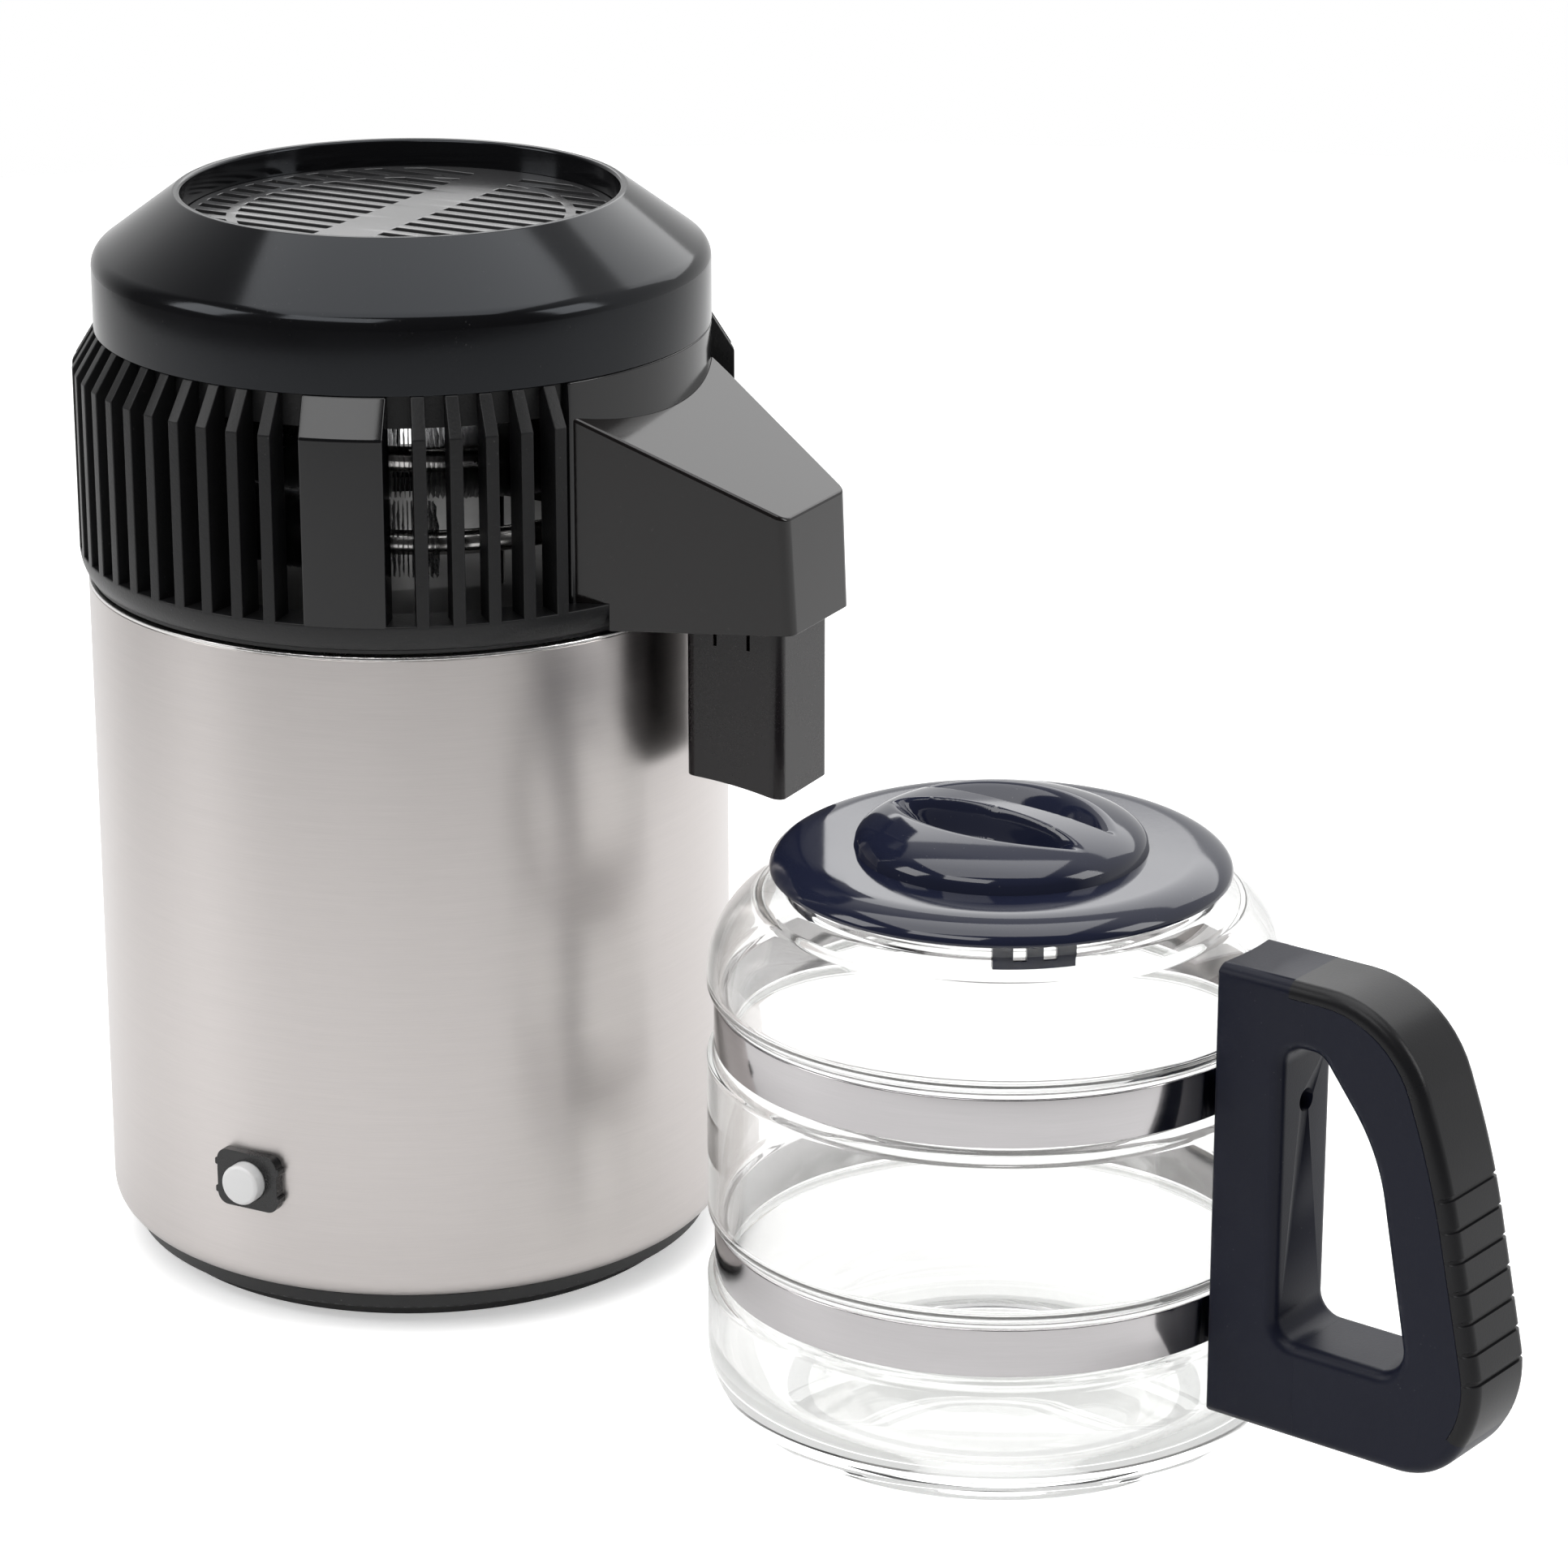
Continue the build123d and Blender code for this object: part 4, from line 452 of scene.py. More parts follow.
def dust_group():
    """Dust: rare small specks from the near cells of a Voronoi texture, kept where slow noise is high."""
    group, start, end = new_group("dust_specks", {"Scale": 420.0, "Amount": 0.3}, ("Mask",))
    place = new_node(group, "TexCoord").outputs["Object"]
    cells = new_node(group, "TexVoronoi", Vector=place, Scale=start.outputs["Scale"])
    speck = range_node(group, cells.outputs["Distance"], 0.05, 0.14, 1.0, 0.0)
    patch = range_node(group, noise_node(group, place, 60.0, 2.0), 0.52, 0.7, 0.0, 1.0)
    both = math_node(group, "MULTIPLY", speck, patch)
    feed(group, end.inputs["Mask"], math_node(group, "MULTIPLY", both, start.outputs["Amount"]))
    return group


class Finishes:
    """The materials of the distiller, each built once on first use from the shared node groups."""

    made = {}

    @classmethod
    def group(cls, tree, name, **values):
        """A node of one of the shared groups with its own input values."""
        makers = {"moulded_grain": grain_group, "round_brushing": brush_group, "dust_specks": dust_group}
        node = tree.nodes.new("ShaderNodeGroup")
        node.node_tree = bpy.data.node_groups.get(name) or makers[name]()
        for label, value in values.items():
            node.inputs[label.replace("_", " ")].default_value = value
        return node

    @classmethod
    def start(cls, name, **sockets):
        """An empty material with one Principled shader, and its plain socket values."""
        material = bpy.data.materials.new(name)
        material.use_nodes = True
        shader = material.node_tree.nodes["Principled BSDF"]
        for label, value in sockets.items():
            shader.inputs[label.replace("_", " ")].default_value = value
        cls.made[name] = material
        return material, material.node_tree, shader

    @classmethod
    def tint(cls, tree, shader, colour, factor, spread):
        """Base colour that drifts by a share either way as a slow factor rises and falls."""
        drift = mix_node(tree, factor, [c * (1 - spread) for c in colour],
                         [min(c * (1 + spread), 1) for c in colour])
        feed(tree, shader.inputs["Base Color"], drift)
        return drift

    @classmethod
    def bump(cls, tree, shader, height, strength, distance):
        """A Bump node from a height to the shader's normal."""
        node = new_node(tree, "Bump", Strength=strength, Distance=distance, Height=height)
        feed(tree, shader.inputs["Normal"], node.outputs[0])

    @classmethod
    def plastic(cls, name, colour, low, high, grain=1400.0, bump=0.12, dust=0.0, cloud=18.0, spread=0.18,
                depth=0.0002, **sockets):
        """Moulded surface: drifting colour, grain in the height, gloss between two roughness values."""
        if name in cls.made:
            return cls.made[name]
        material, tree, shader = cls.start(name, **sockets)
        texture = cls.group(tree, "moulded_grain", Grain_Scale=grain, Cloud_Scale=cloud, Low=low, High=high)
        drift = cls.tint(tree, shader, colour, texture.outputs["Cloud"], spread)
        if dust > 0:
            specks = cls.group(tree, "dust_specks", Amount=dust).outputs["Mask"]
            feed(tree, shader.inputs["Base Color"], mix_node(tree, specks, drift, (0.45, 0.44, 0.43)))
        feed(tree, shader.inputs["Roughness"], texture.outputs["Gloss"])
        cls.bump(tree, shader, texture.outputs["Height"], bump, depth)
        return material

    @classmethod
    def brushed(cls, name, colour, low, high, centre=(0.0, 0.0), lines=2600.0, bump=0.02, **sockets):
        """Brushed metal: lines round an axis shift its colour, gloss and height."""
        if name in cls.made:
            return cls.made[name]
        material, tree, shader = cls.start(name, Metallic=1.0, **sockets)
        texture = cls.group(tree, "round_brushing", Centre_X=centre[0] * MM, Centre_Y=centre[1] * MM,
                            Line_Scale=lines)
        both = math_node(tree, "ADD", math_node(tree, "MULTIPLY", texture.outputs["Lines"], 0.6),
                         math_node(tree, "MULTIPLY", texture.outputs["Streaks"], 0.4))
        cls.tint(tree, shader, colour, range_node(tree, both, 0.3, 0.7, 0.0, 1.0), 0.05)
        feed(tree, shader.inputs["Roughness"], range_node(tree, both, 0.3, 0.7, low, high))
        cls.bump(tree, shader, texture.outputs["Lines"], bump, 0.00005)
        if shader.inputs["Anisotropic"].default_value > 0:
            tangent = new_node(tree, "Tangent")
            tangent.direction_type = "RADIAL"
            tangent.axis = "Z"
            feed(tree, shader.inputs["Tangent"], tangent.outputs[0])
        return material

    @classmethod
    def metal(cls, name, colour, low, high, grain=900.0, bump=0.03, **sockets):
        """Plain metal with a slow drift of colour and gloss and a faint grain."""
        return cls.plastic(name, colour, low, high, grain, bump, cloud=25.0, spread=0.07, depth=0.0001,
                           Metallic=1.0, **sockets)

    @classmethod
    def glass(cls, name, colour):
        """Clear glass with slow waves, and painted shade at a glancing view; shadow and deep rays pass
        straight on.
        """
        if name in cls.made:
            return cls.made[name]
        material, tree, shader = cls.start(name, Transmission_Weight=1.0, IOR=1.47, Roughness=0.0)
        # Painted shade: the base colour darkens by a third towards a glancing view, standing in for the grey
        # the jug's sides take from their surroundings.
        facing = new_node(tree, "LayerWeight").outputs["Facing"]
        edge = range_node(tree, facing, 0.45, 1.0, 0.0, 1.0)
        feed(tree, shader.inputs["Base Color"], mix_node(tree, edge, colour, [c * 0.66 for c in colour]))
        place = new_node(tree, "TexCoord").outputs["Object"]
        cls.bump(tree, shader, noise_node(tree, place, 14.0, 1.0), 0.12, 0.004)
        clear = new_node(tree, "BsdfTransparent", Color=(0.945, 0.947, 0.943, 1))
        path = new_node(tree, "LightPath").outputs
        deep = math_node(tree, "MAXIMUM", math_node(tree, "GREATER_THAN", path["Ray Depth"], 6.5),
                         math_node(tree, "GREATER_THAN", path["Glossy Depth"], 1.5))
        mix = new_node(tree, "MixShader", Fac=math_node(tree, "MAXIMUM", path["Is Shadow Ray"], deep))
        feed(tree, mix.inputs[1], shader.outputs[0])
        feed(tree, mix.inputs[2], clear.outputs[0])
        feed(tree, tree.nodes["Material Output"].inputs["Surface"], mix.outputs[0])
        return material


# Settings

def colour_setting(name, description, default):
    """A colour that the panel shows."""
    return FloatVectorProperty(name=name, description=description, subtype="COLOR", default=default,
                               min=0, max=1)


class DistillerFinish(bpy.types.PropertyGroup):
    """Colours that a user would change."""

    steel: colour_setting("Steel", "Colour of the brushed shell", (0.585, 0.552, 0.538))
    polished: colour_setting("Polished steel", "Colour of the jug's bands", (0.47, 0.455, 0.46))
    black: colour_setting("Black", "Colour of the head's gloss plastic", (0.004, 0.004, 0.0045))
    matt: colour_setting("Matt black", "Colour of the vents, base and bezel", (0.006, 0.006, 0.0065))
    navy: colour_setting("Navy", "Colour of the jug's lid and handle", (0.010, 0.012, 0.026))
    button: colour_setting("Button", "Colour of the reset button", (0.62, 0.62, 0.62))
    glass: colour_setting("Glass", "Tint of the jug", (0.94, 0.942, 0.938))


class DistillerShape(bpy.types.PropertyGroup):
    """Sizes and counts that a user would change."""

    base_round: FloatProperty(name="Base round", description="Radius on the base pan's edges",
                              default=0.5 * MM, min=0, unit="LENGTH")
    coil_fins: IntProperty(name="Coil fins", description="Crimped fins along the condenser tube",
                           default=620, min=20)
    fin_wave: FloatProperty(name="Fin wave", description="Depth of the crimp in a coil fin", default=0.3 * MM,
                            min=0, unit="LENGTH")
    turns: IntProperty(name="Round steps", description="Steps round a full circle", default=192, min=32)


# Operators

class DISTILLER_OT_boiler(bpy.types.Operator):
    """Brushed shell, base, pot and heater"""

    bl_idname = "distiller.boiler"
    bl_label = "Boiler"

    def execute(self, context):
        look, shape = context.scene.distiller_finish, context.scene.distiller_shape
        steel = Finishes.brushed("brushed_shell_steel", look.steel, 0.3, 0.38, Anisotropic=0.7,
                                 Anisotropic_Rotation=0.25)
        drawn = Finishes.brushed("drawn_pot_steel", (0.66, 0.65, 0.64), 0.22, 0.32, lines=1400.0)
        dark = Finishes.plastic("base_plastic", look.matt, 0.3, 0.42, dust=0.15)
        shell = self.shell(shape.turns)
        new_piece("shell_finish", shell, steel, "boiler", "outer_shell", 35.0)
        dress("inner_pot", drawn, "boiler")
        dress("base_pan", dark, "boiler", bevel=shape.base_round / MM)
        paint(Finishes.plastic("foot_rubber", (0.022, 0.022, 0.022), 0.6, 0.75, bump=0.3), "foot_ring")
        paint(Finishes.metal(*PLATED), "base_screws")
        paint(Finishes.metal("cast_aluminium", (0.72, 0.72, 0.73), 0.3, 0.45, bump=0.2), "heating_plate")
        paint(Finishes.plastic("switch_plastic", (0.03, 0.029, 0.028), 0.4, 0.55),
              "thermostats", "reset_switch")
        return {"FINISHED"}

    @staticmethod
    def shell(turns):
        """A sheet profile turned round the axis, less the cells where button and sockets pass, with rims."""
        inner, floor = SHELL_RADIUS - SHELL_WALL, SHELL_BOTTOM + SHELL_WALL
        levels = sorted({level + side * half for _, _, level, half in SHELL_OPENINGS for side in (-1, 1)})
        profile = rounded(
            [(SHELL_RADIUS, SHELL_BOTTOM), *((SHELL_RADIUS, level) for level in levels),
             (SHELL_RADIUS, SHELL_TOP), (inner, SHELL_TOP), *((inner, level) for level in levels[::-1]),
             (inner, floor), (SHELL_LIP, floor), (SHELL_LIP, SHELL_BOTTOM)],
            [SHELL_CORNER, *(0 for _ in levels), SHARP_ROUND, SHARP_ROUND, *(0 for _ in levels),
             SHELL_CORNER - SHELL_WALL, 0, 0], 10)
        rows = [np.array([np.argmin(np.hypot(*(profile - (radius, level)).T)) for level in levels])
                for radius in (SHELL_RADIUS, inner)]
        spans = [(math.radians(angle % 360), math.asin(half / SHELL_RADIUS))
                 for angle, half, _, _ in SHELL_OPENINGS]
        stops = np.array([[middle - half, middle + half] for middle, half in spans]).ravel()
        angle = np.sort(np.concatenate([circle(turns), stops]))
        points, quads = revolve(profile, angle=angle)
        quads = np.array(quads)
        upright = np.abs(profile[:, 0] - np.roll(profile[:, 0], -1)) < 1e-6
        height = (profile[:, 1] + np.roll(profile[:, 1], -1)) / 2
        turn = (angle + np.append(angle[1:], 2 * np.pi)) / 2
        kept, rims = np.ones((len(profile), len(angle)), bool), []
        for (middle, half), (_, _, level, rise) in zip(spans, SHELL_OPENINGS):
            inside = (upright & (profile[:, 0] > inner - 1e-6) & (np.abs(height - level) < rise))[:, None]
            kept &= ~(inside & (np.abs(turn - middle) < half))
            low, high = (int(np.argmin(np.abs(np.array(levels) - level - side * rise))) for side in (-1, 1))
            first, last = (int(np.argmin(np.abs(angle - middle - side * half))) for side in (-1, 1))
            across, up = np.arange(first, last), np.arange(low, high)
            row = np.concatenate([0 * across + low, up, 0 * across + high, up[::-1] + 1])
            column = np.concatenate([across, 0 * up + last, across[::-1] + 1, 0 * up + first])
            out, back = (side[row] * len(angle) + column for side in rows)
            rims.append(np.stack([out, np.roll(out, -1), np.roll(back, -1), back], 1))
        return points, np.concatenate([quads[kept.ravel()], *rims]).tolist()


class DISTILLER_OT_reset(bpy.types.Operator):
    """Reset button and its bezel, and the two sockets on the back"""

    bl_idname = "distiller.reset"
    bl_label = "Reset button and sockets"

    def execute(self, context):
        look = context.scene.distiller_finish
        dark = Finishes.plastic("bezel_plastic", look.matt, 0.22, 0.34, bump=0.06)
        pale = Finishes.plastic("button_plastic", look.button, 0.26, 0.36, bump=0.04)
        brass = Finishes.metal("contact_metal", (0.72, 0.6, 0.38), 0.2, 0.32)
        dress("reset_bezel", dark, "boiler", bevel=0.4)
        dress("reset_button", pale, "reset_button", bevel=0.3)
        for node in ("mains_inlet", "fan_outlet"):
            dress(node, dark, "boiler", bevel=0.4)
        paint(brass, "inlet_pins", "outlet_pins")
        return {"FINISHED"}


def fin_angles():
    """Angles of the fins, spread evenly over each stretch between the posts and the spout's panel."""
    panel = math.degrees(math.asin(PANEL_HALF / VENT_RADIUS))
    post = math.degrees(math.asin(POST_WIDTH / 2 / VENT_RADIUS))
    solids = [(0.0, panel)] + sorted((angle % 360, post) for angle in POST_ANGLES) + [(360.0, panel)]
    angles = []
    for (angle, half), (next_angle, next_half) in zip(solids, solids[1:]):
        stretch = next_angle - next_half - angle - half
        slots = round(stretch / FIN_PITCH)
        angles += [angle + half + stretch * index / slots for index in range(1, slots)]
    return angles


class DISTILLER_OT_vents(bpy.types.Operator):
    """Vent ring with slanted fins, posts, the panel behind the spout and the collar"""

    bl_idname = "distiller.vents"
    bl_label = "Vent ring"

    def execute(self, context):
        look, shape = context.scene.distiller_finish, context.scene.distiller_shape
        matt = Finishes.plastic("vent_plastic", look.matt, 0.34, 0.46, 1100.0, 0.3, 0.08,
                                Specular_IOR_Level=0.32)
        gloss = Finishes.plastic("post_plastic", look.black, 0.1, 0.16, bump=0.015, Specular_IOR_Level=0.42)
        outline = [(VENT_INNER, FIN_ROOT), (VENT_RADIUS, FIN_ROOT), (VENT_RADIUS, FIN_TOP),
                   (DOME_RADIUS, VENT_TOP), (VENT_INNER, VENT_TOP)]
        fins = [chord_block(outline, FIN_WIDTH / 2, angle, 2) for angle in fin_angles()]
        bow = np.linspace(0, 1, 9)[:, None]
        drop = np.arcsin(BAND_DROP / BAND_BOW) * bow
        curve = np.concatenate([VENT_RADIUS - BAND_BOW * (1 - np.cos(drop)),
                                BAND_TOP - BAND_BOW * np.sin(drop)], 1)
        profile = np.concatenate([
            [(COLLAR_INNER, SEAT_LEVEL), (COLLAR_INNER, BAND_TOP)], curve,
            [(RING_FOOT, VENT_BOTTOM + RING_LIP), (RING_FOOT, VENT_BOTTOM), (SEAT_RADIUS, VENT_BOTTOM),
             (SEAT_RADIUS, SEAT_LEVEL)]])
        band = revolve(profile, shape.turns)
        collar = revolve([(COLLAR_INNER, COLLAR_BOTTOM), (VENT_INNER, COLLAR_BOTTOM),
                          (VENT_INNER, COLLAR_TOP), (COLLAR_INNER, COLLAR_TOP)], shape.turns)
        ring = joined(band, collar, *fins)
        new_piece("vent_fins", ring, matt, "head", "vent_ring", bevel=0.45)
        posts = [chord_block(outline, POST_WIDTH / 2, angle, 9) for angle in POST_ANGLES]
        panel = chord_block([(VENT_INNER, FIN_ROOT), (DOME_RADIUS, FIN_ROOT), (DOME_RADIUS, VENT_TOP),
                             (VENT_INNER, VENT_TOP)], PANEL_HALF, 0.0, 33)
        new_piece("vent_posts", joined(panel, *posts), gloss, "head", "vent_ring", 25.0, 0.6)
        return {"FINISHED"}


class DISTILLER_OT_dome(bpy.types.Operator):
    """Glossy dome, its grille, and the tray and seal under the head"""

    bl_idname = "distiller.dome"
    bl_label = "Dome and grille"

    def execute(self, context):
        look, shape = context.scene.distiller_finish, context.scene.distiller_shape
        gloss = Finishes.plastic("dome_plastic", look.black, 0.1, 0.15, 700.0, 0.012, 0.05,
                                 Specular_IOR_Level=0.24, Specular_Tint=(0.88, 0.93, 1.0, 1.0))
        profile = rounded(
            [(DOME_RADIUS, VENT_TOP), (DOME_RADIUS, DOME_SHOULDER), (RIM_RADIUS, DOME_TOP),
             (RIM_OPENING, DOME_TOP), (RIM_OPENING, GRILLE_BOTTOM), (GRILLE_SEAT, GRILLE_BOTTOM),
             (GRILLE_SEAT, SEAT_BOTTOM),
             (RIM_RADIUS, SEAT_BOTTOM), (RIM_RADIUS, DOME_INNER_TOP), (DOME_INNER, DOME_INNER_SHOULDER),
             (DOME_INNER, VENT_TOP)],
            [0.4, 7.0, 1.2, 1.2, 0, 0, 0, 0, 0, 4.4, 0], 10)
        dome = revolve(profile, shape.turns)
        new_piece("dome_finish", dome, gloss, "head", "dome_cover", 35.0)
        bars = Finishes.plastic("grille_plastic", (0.03, 0.03, 0.031), 0.12, 0.2, bump=0.03, dust=0.3,
                                Specular_IOR_Level=0.8)
        dress("top_grille", bars, "head", bevel=0.25, flat=False)
        # Painted shade: the tray's steel is given a colour far darker than bare steel, for the shade inside
        # the head.
        drawn = Finishes.brushed("tray_steel_painted_shade", (0.15, 0.148, 0.145), 0.34, 0.46, lines=1400.0)
        dress("head_tray", drawn, "head")
        seal = Finishes.plastic("seal_silicone", (0.62, 0.61, 0.58), 0.45, 0.6, bump=0.1,
                                Subsurface_Weight=0.1)
        dress("rim_seal", seal, "head")
        return {"FINISHED"}


class DISTILLER_OT_condenser(bpy.types.Operator):
    """Condenser tube, its crimped fins, the fan and its motor"""

    bl_idname = "distiller.condenser"
    bl_label = "Condenser and fan"

    def execute(self, context):
        look, shape = context.scene.distiller_finish, context.scene.distiller_shape
        # Painted shade: the fins' aluminium is given a colour far darker than bare aluminium, for the shade
        # inside the head.
        bright = Finishes.metal("fin_aluminium_painted_shade", (0.42, 0.42, 0.43), 0.16, 0.3)
        tube = Finishes.metal("tube_steel", (0.5, 0.49, 0.48), 0.14, 0.24)
        dress("condenser_coil", tube, "head", 40.0)
        fins = self.fins(shape.coil_fins, shape.fin_wave / MM)
        new_piece("crimped_fins", fins, bright, "head", "coil_fins", 50.0)
        dark = Finishes.plastic("fan_plastic", look.matt, 0.3, 0.42)
        dress("fan_rotor", dark, "fan", 40.0, 0.2)
        paint(Finishes.plastic("motor_paint", (0.06, 0.06, 0.065), 0.3, 0.45), "motor_bracket", "fan_motor")
        paint(Finishes.metal(*PLATED), "bracket_screws")
        return {"FINISHED"}

    @staticmethod
    def fins(count, wave):
        """Discs along a falling helix, each an inner ring, a waved outer ring and the inner ring again."""
        turn = np.radians(np.linspace(*COIL_FIN_SPAN, count))[:, None, None]
        across = circle(COIL_FIN_STEPS)[None, None, :]
        ring = np.array(COIL_FIN_RADII)[None, :, None]
        offset = np.array([-COIL_FIN_EDGE, 0.0, COIL_FIN_EDGE])[None, :, None]
        crimp = np.array([0.0, 1.0, 0.0])[None, :, None]
        phase = np.arange(count)[:, None, None] * 2.4
        out = ring * np.cos(across) * (1 + 0.02 * crimp * np.sin(7 * across + phase))
        up = ring * np.sin(across) * (1 + 0.02 * crimp * np.sin(5 * across + phase))
        along = offset + crimp * wave * np.sin(9 * across + phase)
        radius = COIL_RADIUS + out
        height = COIL_TOP - COIL_PITCH * (turn - math.radians(COIL_START)) / (2 * np.pi) + up
        x = radius * np.cos(turn) - along * np.sin(turn)
        y = radius * np.sin(turn) + along * np.cos(turn)
        points = stacked(x, y, height).reshape(-1, 3)
        disc = grid_quads(3, COIL_FIN_STEPS, True, True)
        faces = (disc[None] + np.arange(count)[:, None, None] * 3 * COIL_FIN_STEPS).reshape(-1, 4)
        return points, faces.tolist()


class DISTILLER_OT_spout(bpy.types.Operator):
    """Spout housing, filter cup, its sachet and the fan lead's gland"""

    bl_idname = "distiller.spout"
    bl_label = "Spout and filter cup"

    def execute(self, context):
        look = context.scene.distiller_finish
        semi = Finishes.plastic("spout_plastic", (0.006, 0.005, 0.005), 0.08, 0.13, 900.0, 0.025, 0.05,
                                Specular_IOR_Level=0.42)
        satin = Finishes.plastic("cup_plastic", (0.010, 0.0082, 0.0088), 0.22, 0.32, 1200.0, 0.08, 0.05,
                                 Specular_IOR_Level=0.34)
        dress("spout_housing", semi, "head", 25.0, 0.8)
        dress("filter_cup", satin, "filter_cup", bevel=0.4)
        rubber = Finishes.plastic("gland_rubber", look.matt, 0.55, 0.7, bump=0.2)
        dress("fan_lead_gland", rubber, "head", bevel=0.3)
        paper = Finishes.plastic("sachet_paper", (0.74, 0.73, 0.69), 0.75, 0.9, 2200.0, 0.6)
        sachet = new_piece("sachet_pillow", self.pillow(), paper, "filter_cup", "carbon_sachet",
                           60.0)
        return {"FINISHED"}

    @staticmethod
    def pillow():
        """A pillow: a box-like superellipse round its middle, drawn in to a seam and puckered near it."""
        low, high = (np.array(corner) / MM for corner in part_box("carbon_sachet"))
        centre, half = (low + high) / 2, (high - low) / 2
        rows, columns = 41, 96
        lift = np.linspace(-1, 1, rows)[:, None]
        turn = circle(columns)[None, :]
        power = lambda value, exponent: np.sign(value) * np.abs(value) ** exponent
        swell = (1 - np.abs(lift) ** PILLOW_POWER) ** (1 / PILLOW_POWER)
        pucker = 1 + 0.02 * np.sin(14 * turn) * np.exp(-(lift / 0.25) ** 2)
        x = centre[0] + half[0] * 0.96 * power(np.cos(turn), 0.45) * swell * pucker
        y = centre[1] + half[1] * 0.96 * power(np.sin(turn), 0.45) * swell * pucker
        z = centre[2] + half[2] * 0.97 * lift + 0 * turn
        points = stacked(x, y, z).reshape(-1, 3)
        return points, grid_quads(rows, columns, False, True).tolist()


class DISTILLER_OT_jug(bpy.types.Operator):
    """Glass jug with its pour lip and the two steel bands"""

    bl_idname = "distiller.jug"
    bl_label = "Glass jug and bands"

    def execute(self, context):
        look, shape = context.scene.distiller_finish, context.scene.distiller_shape
        clear = Finishes.glass("jug_glass", look.glass)
        mirror = Finishes.brushed("band_steel", look.polished, 0.07, 0.12, JUG_CENTRE, 3000.0, 0.02)
        new_piece("jug_glass_body", self.glass(shape.turns), clear, "jug", "glass_jug", 180.0)
        for node, level in zip(("lower_band", "upper_band"), BAND_LEVELS):
            profile = rounded(
                [(BAND_RADIUS - BAND_SHEET, level - BAND_HALF), (BAND_RADIUS, level - BAND_HALF),
                 (BAND_RADIUS, level + BAND_HALF), (BAND_RADIUS - BAND_SHEET, level + BAND_HALF)],
                [0.1, 0.35, 0.35, 0.1], 4)
            band = revolve(profile, shape.turns, JUG_CENTRE)
            new_piece(node + "_finish", band, mirror, "jug", node, 50.0)
        return {"FINISHED"}

    @staticmethod
    def glass(turns):
        """The wall's profile turned round the jug's axis, pushed out over a cone where the lip is drawn."""
        def arc(centre, radius, start, end, steps):
            t = np.radians(np.linspace(start, end, steps))[:, None]
            return np.concatenate([centre[0] + radius * np.cos(t), centre[1] + radius * np.sin(t)], 1)

        outside = np.concatenate([
            [(0.0, 4.0), (30.0, 3.8), (48.0, 3.6), (54.0, 2.2), (59.0, 0.0), (66.0, 0.0)],
            arc((69.0, 22.0), 22.0, -84, 0, 14),
            np.stack([np.full(WALL_STEPS, JUG_RADIUS), np.linspace(24, 144.5, WALL_STEPS)], 1),
            arc((61.0, 145.0), 30.0, 0, 60, 14),
            np.stack([np.interp(np.linspace(0, 1, 12), [0, 0.6, 1], [75.5, NECK_RADIUS + 0.6, NECK_RADIUS]),
                      np.linspace(171.4, 177.0, 12)], 1),
            [(NECK_RADIUS, 178.0), (NECK_RADIUS - 0.7, 178.8)]])
        inside = np.concatenate([
            [(64.6, 178.8), (63.9, 178.0)],
            np.stack([np.interp(np.linspace(0, 1, 12), [0, 0.4, 1], [63.8, 64.4, 73.6]),
                      np.linspace(176.6, 169.0, 12)], 1),
            arc((61.0, 145.0), 26.8, 62, 0, 14),
            np.stack([np.full(WALL_STEPS, JUG_RADIUS - JUG_WALL), np.linspace(144.5, 28.5, WALL_STEPS)], 1),
            arc((69.0, 27.3), 18.8, 0, -88, 14),
            [(60.0, 8.5), (30.0, 9.2), (0.0, 9.6)]])
        profile = np.concatenate([outside, inside])
        radius, height = profile[:, :1].copy(), profile[:, 1:]
        is_inside = (np.arange(len(profile)) >= len(outside))[:, None]
        for level in BAND_LEVELS:
            away = np.abs(height - level) - np.where(is_inside, GROOVE_INSET, 0.0)
            groove = 1 - smooth_step(BAND_HALF + GROOVE_EASE[0], BAND_HALF + GROOVE_EASE[1], away)
            radius -= groove * GROOVE_DEPTH * (radius > GROOVE_LIMIT)
        turn = circle(turns)[None, :]
        from_lip = np.angle(np.exp(1j * (turn - np.pi)))
        lip_radius = np.where(is_inside, LIP_RADIUS - JUG_WALL, LIP_RADIUS)
        reach = LIP_REACH + LIP_THROW * np.clip((height - LIP_FOOT) / LIP_RISE, 0, 1)
        under = lip_radius ** 2 - (reach * np.sin(from_lip)) ** 2
        cone = np.where((under > 0) & (np.cos(from_lip) > 0) & (height > LIP_START),
                        reach * np.cos(from_lip) + np.sqrt(np.maximum(under, 0)), 0)
        merged = np.logaddexp(radius / LIP_SOFT, cone / LIP_SOFT) * LIP_SOFT
        radius = np.where(cone > 0, merged, radius + 0 * turn)
        x, y = radius * np.cos(turn), radius * np.sin(turn)
        points = jug_place(stacked(x, y, height)).reshape(-1, 3)
        return points, grid_quads(len(profile), turns, False, True).tolist()


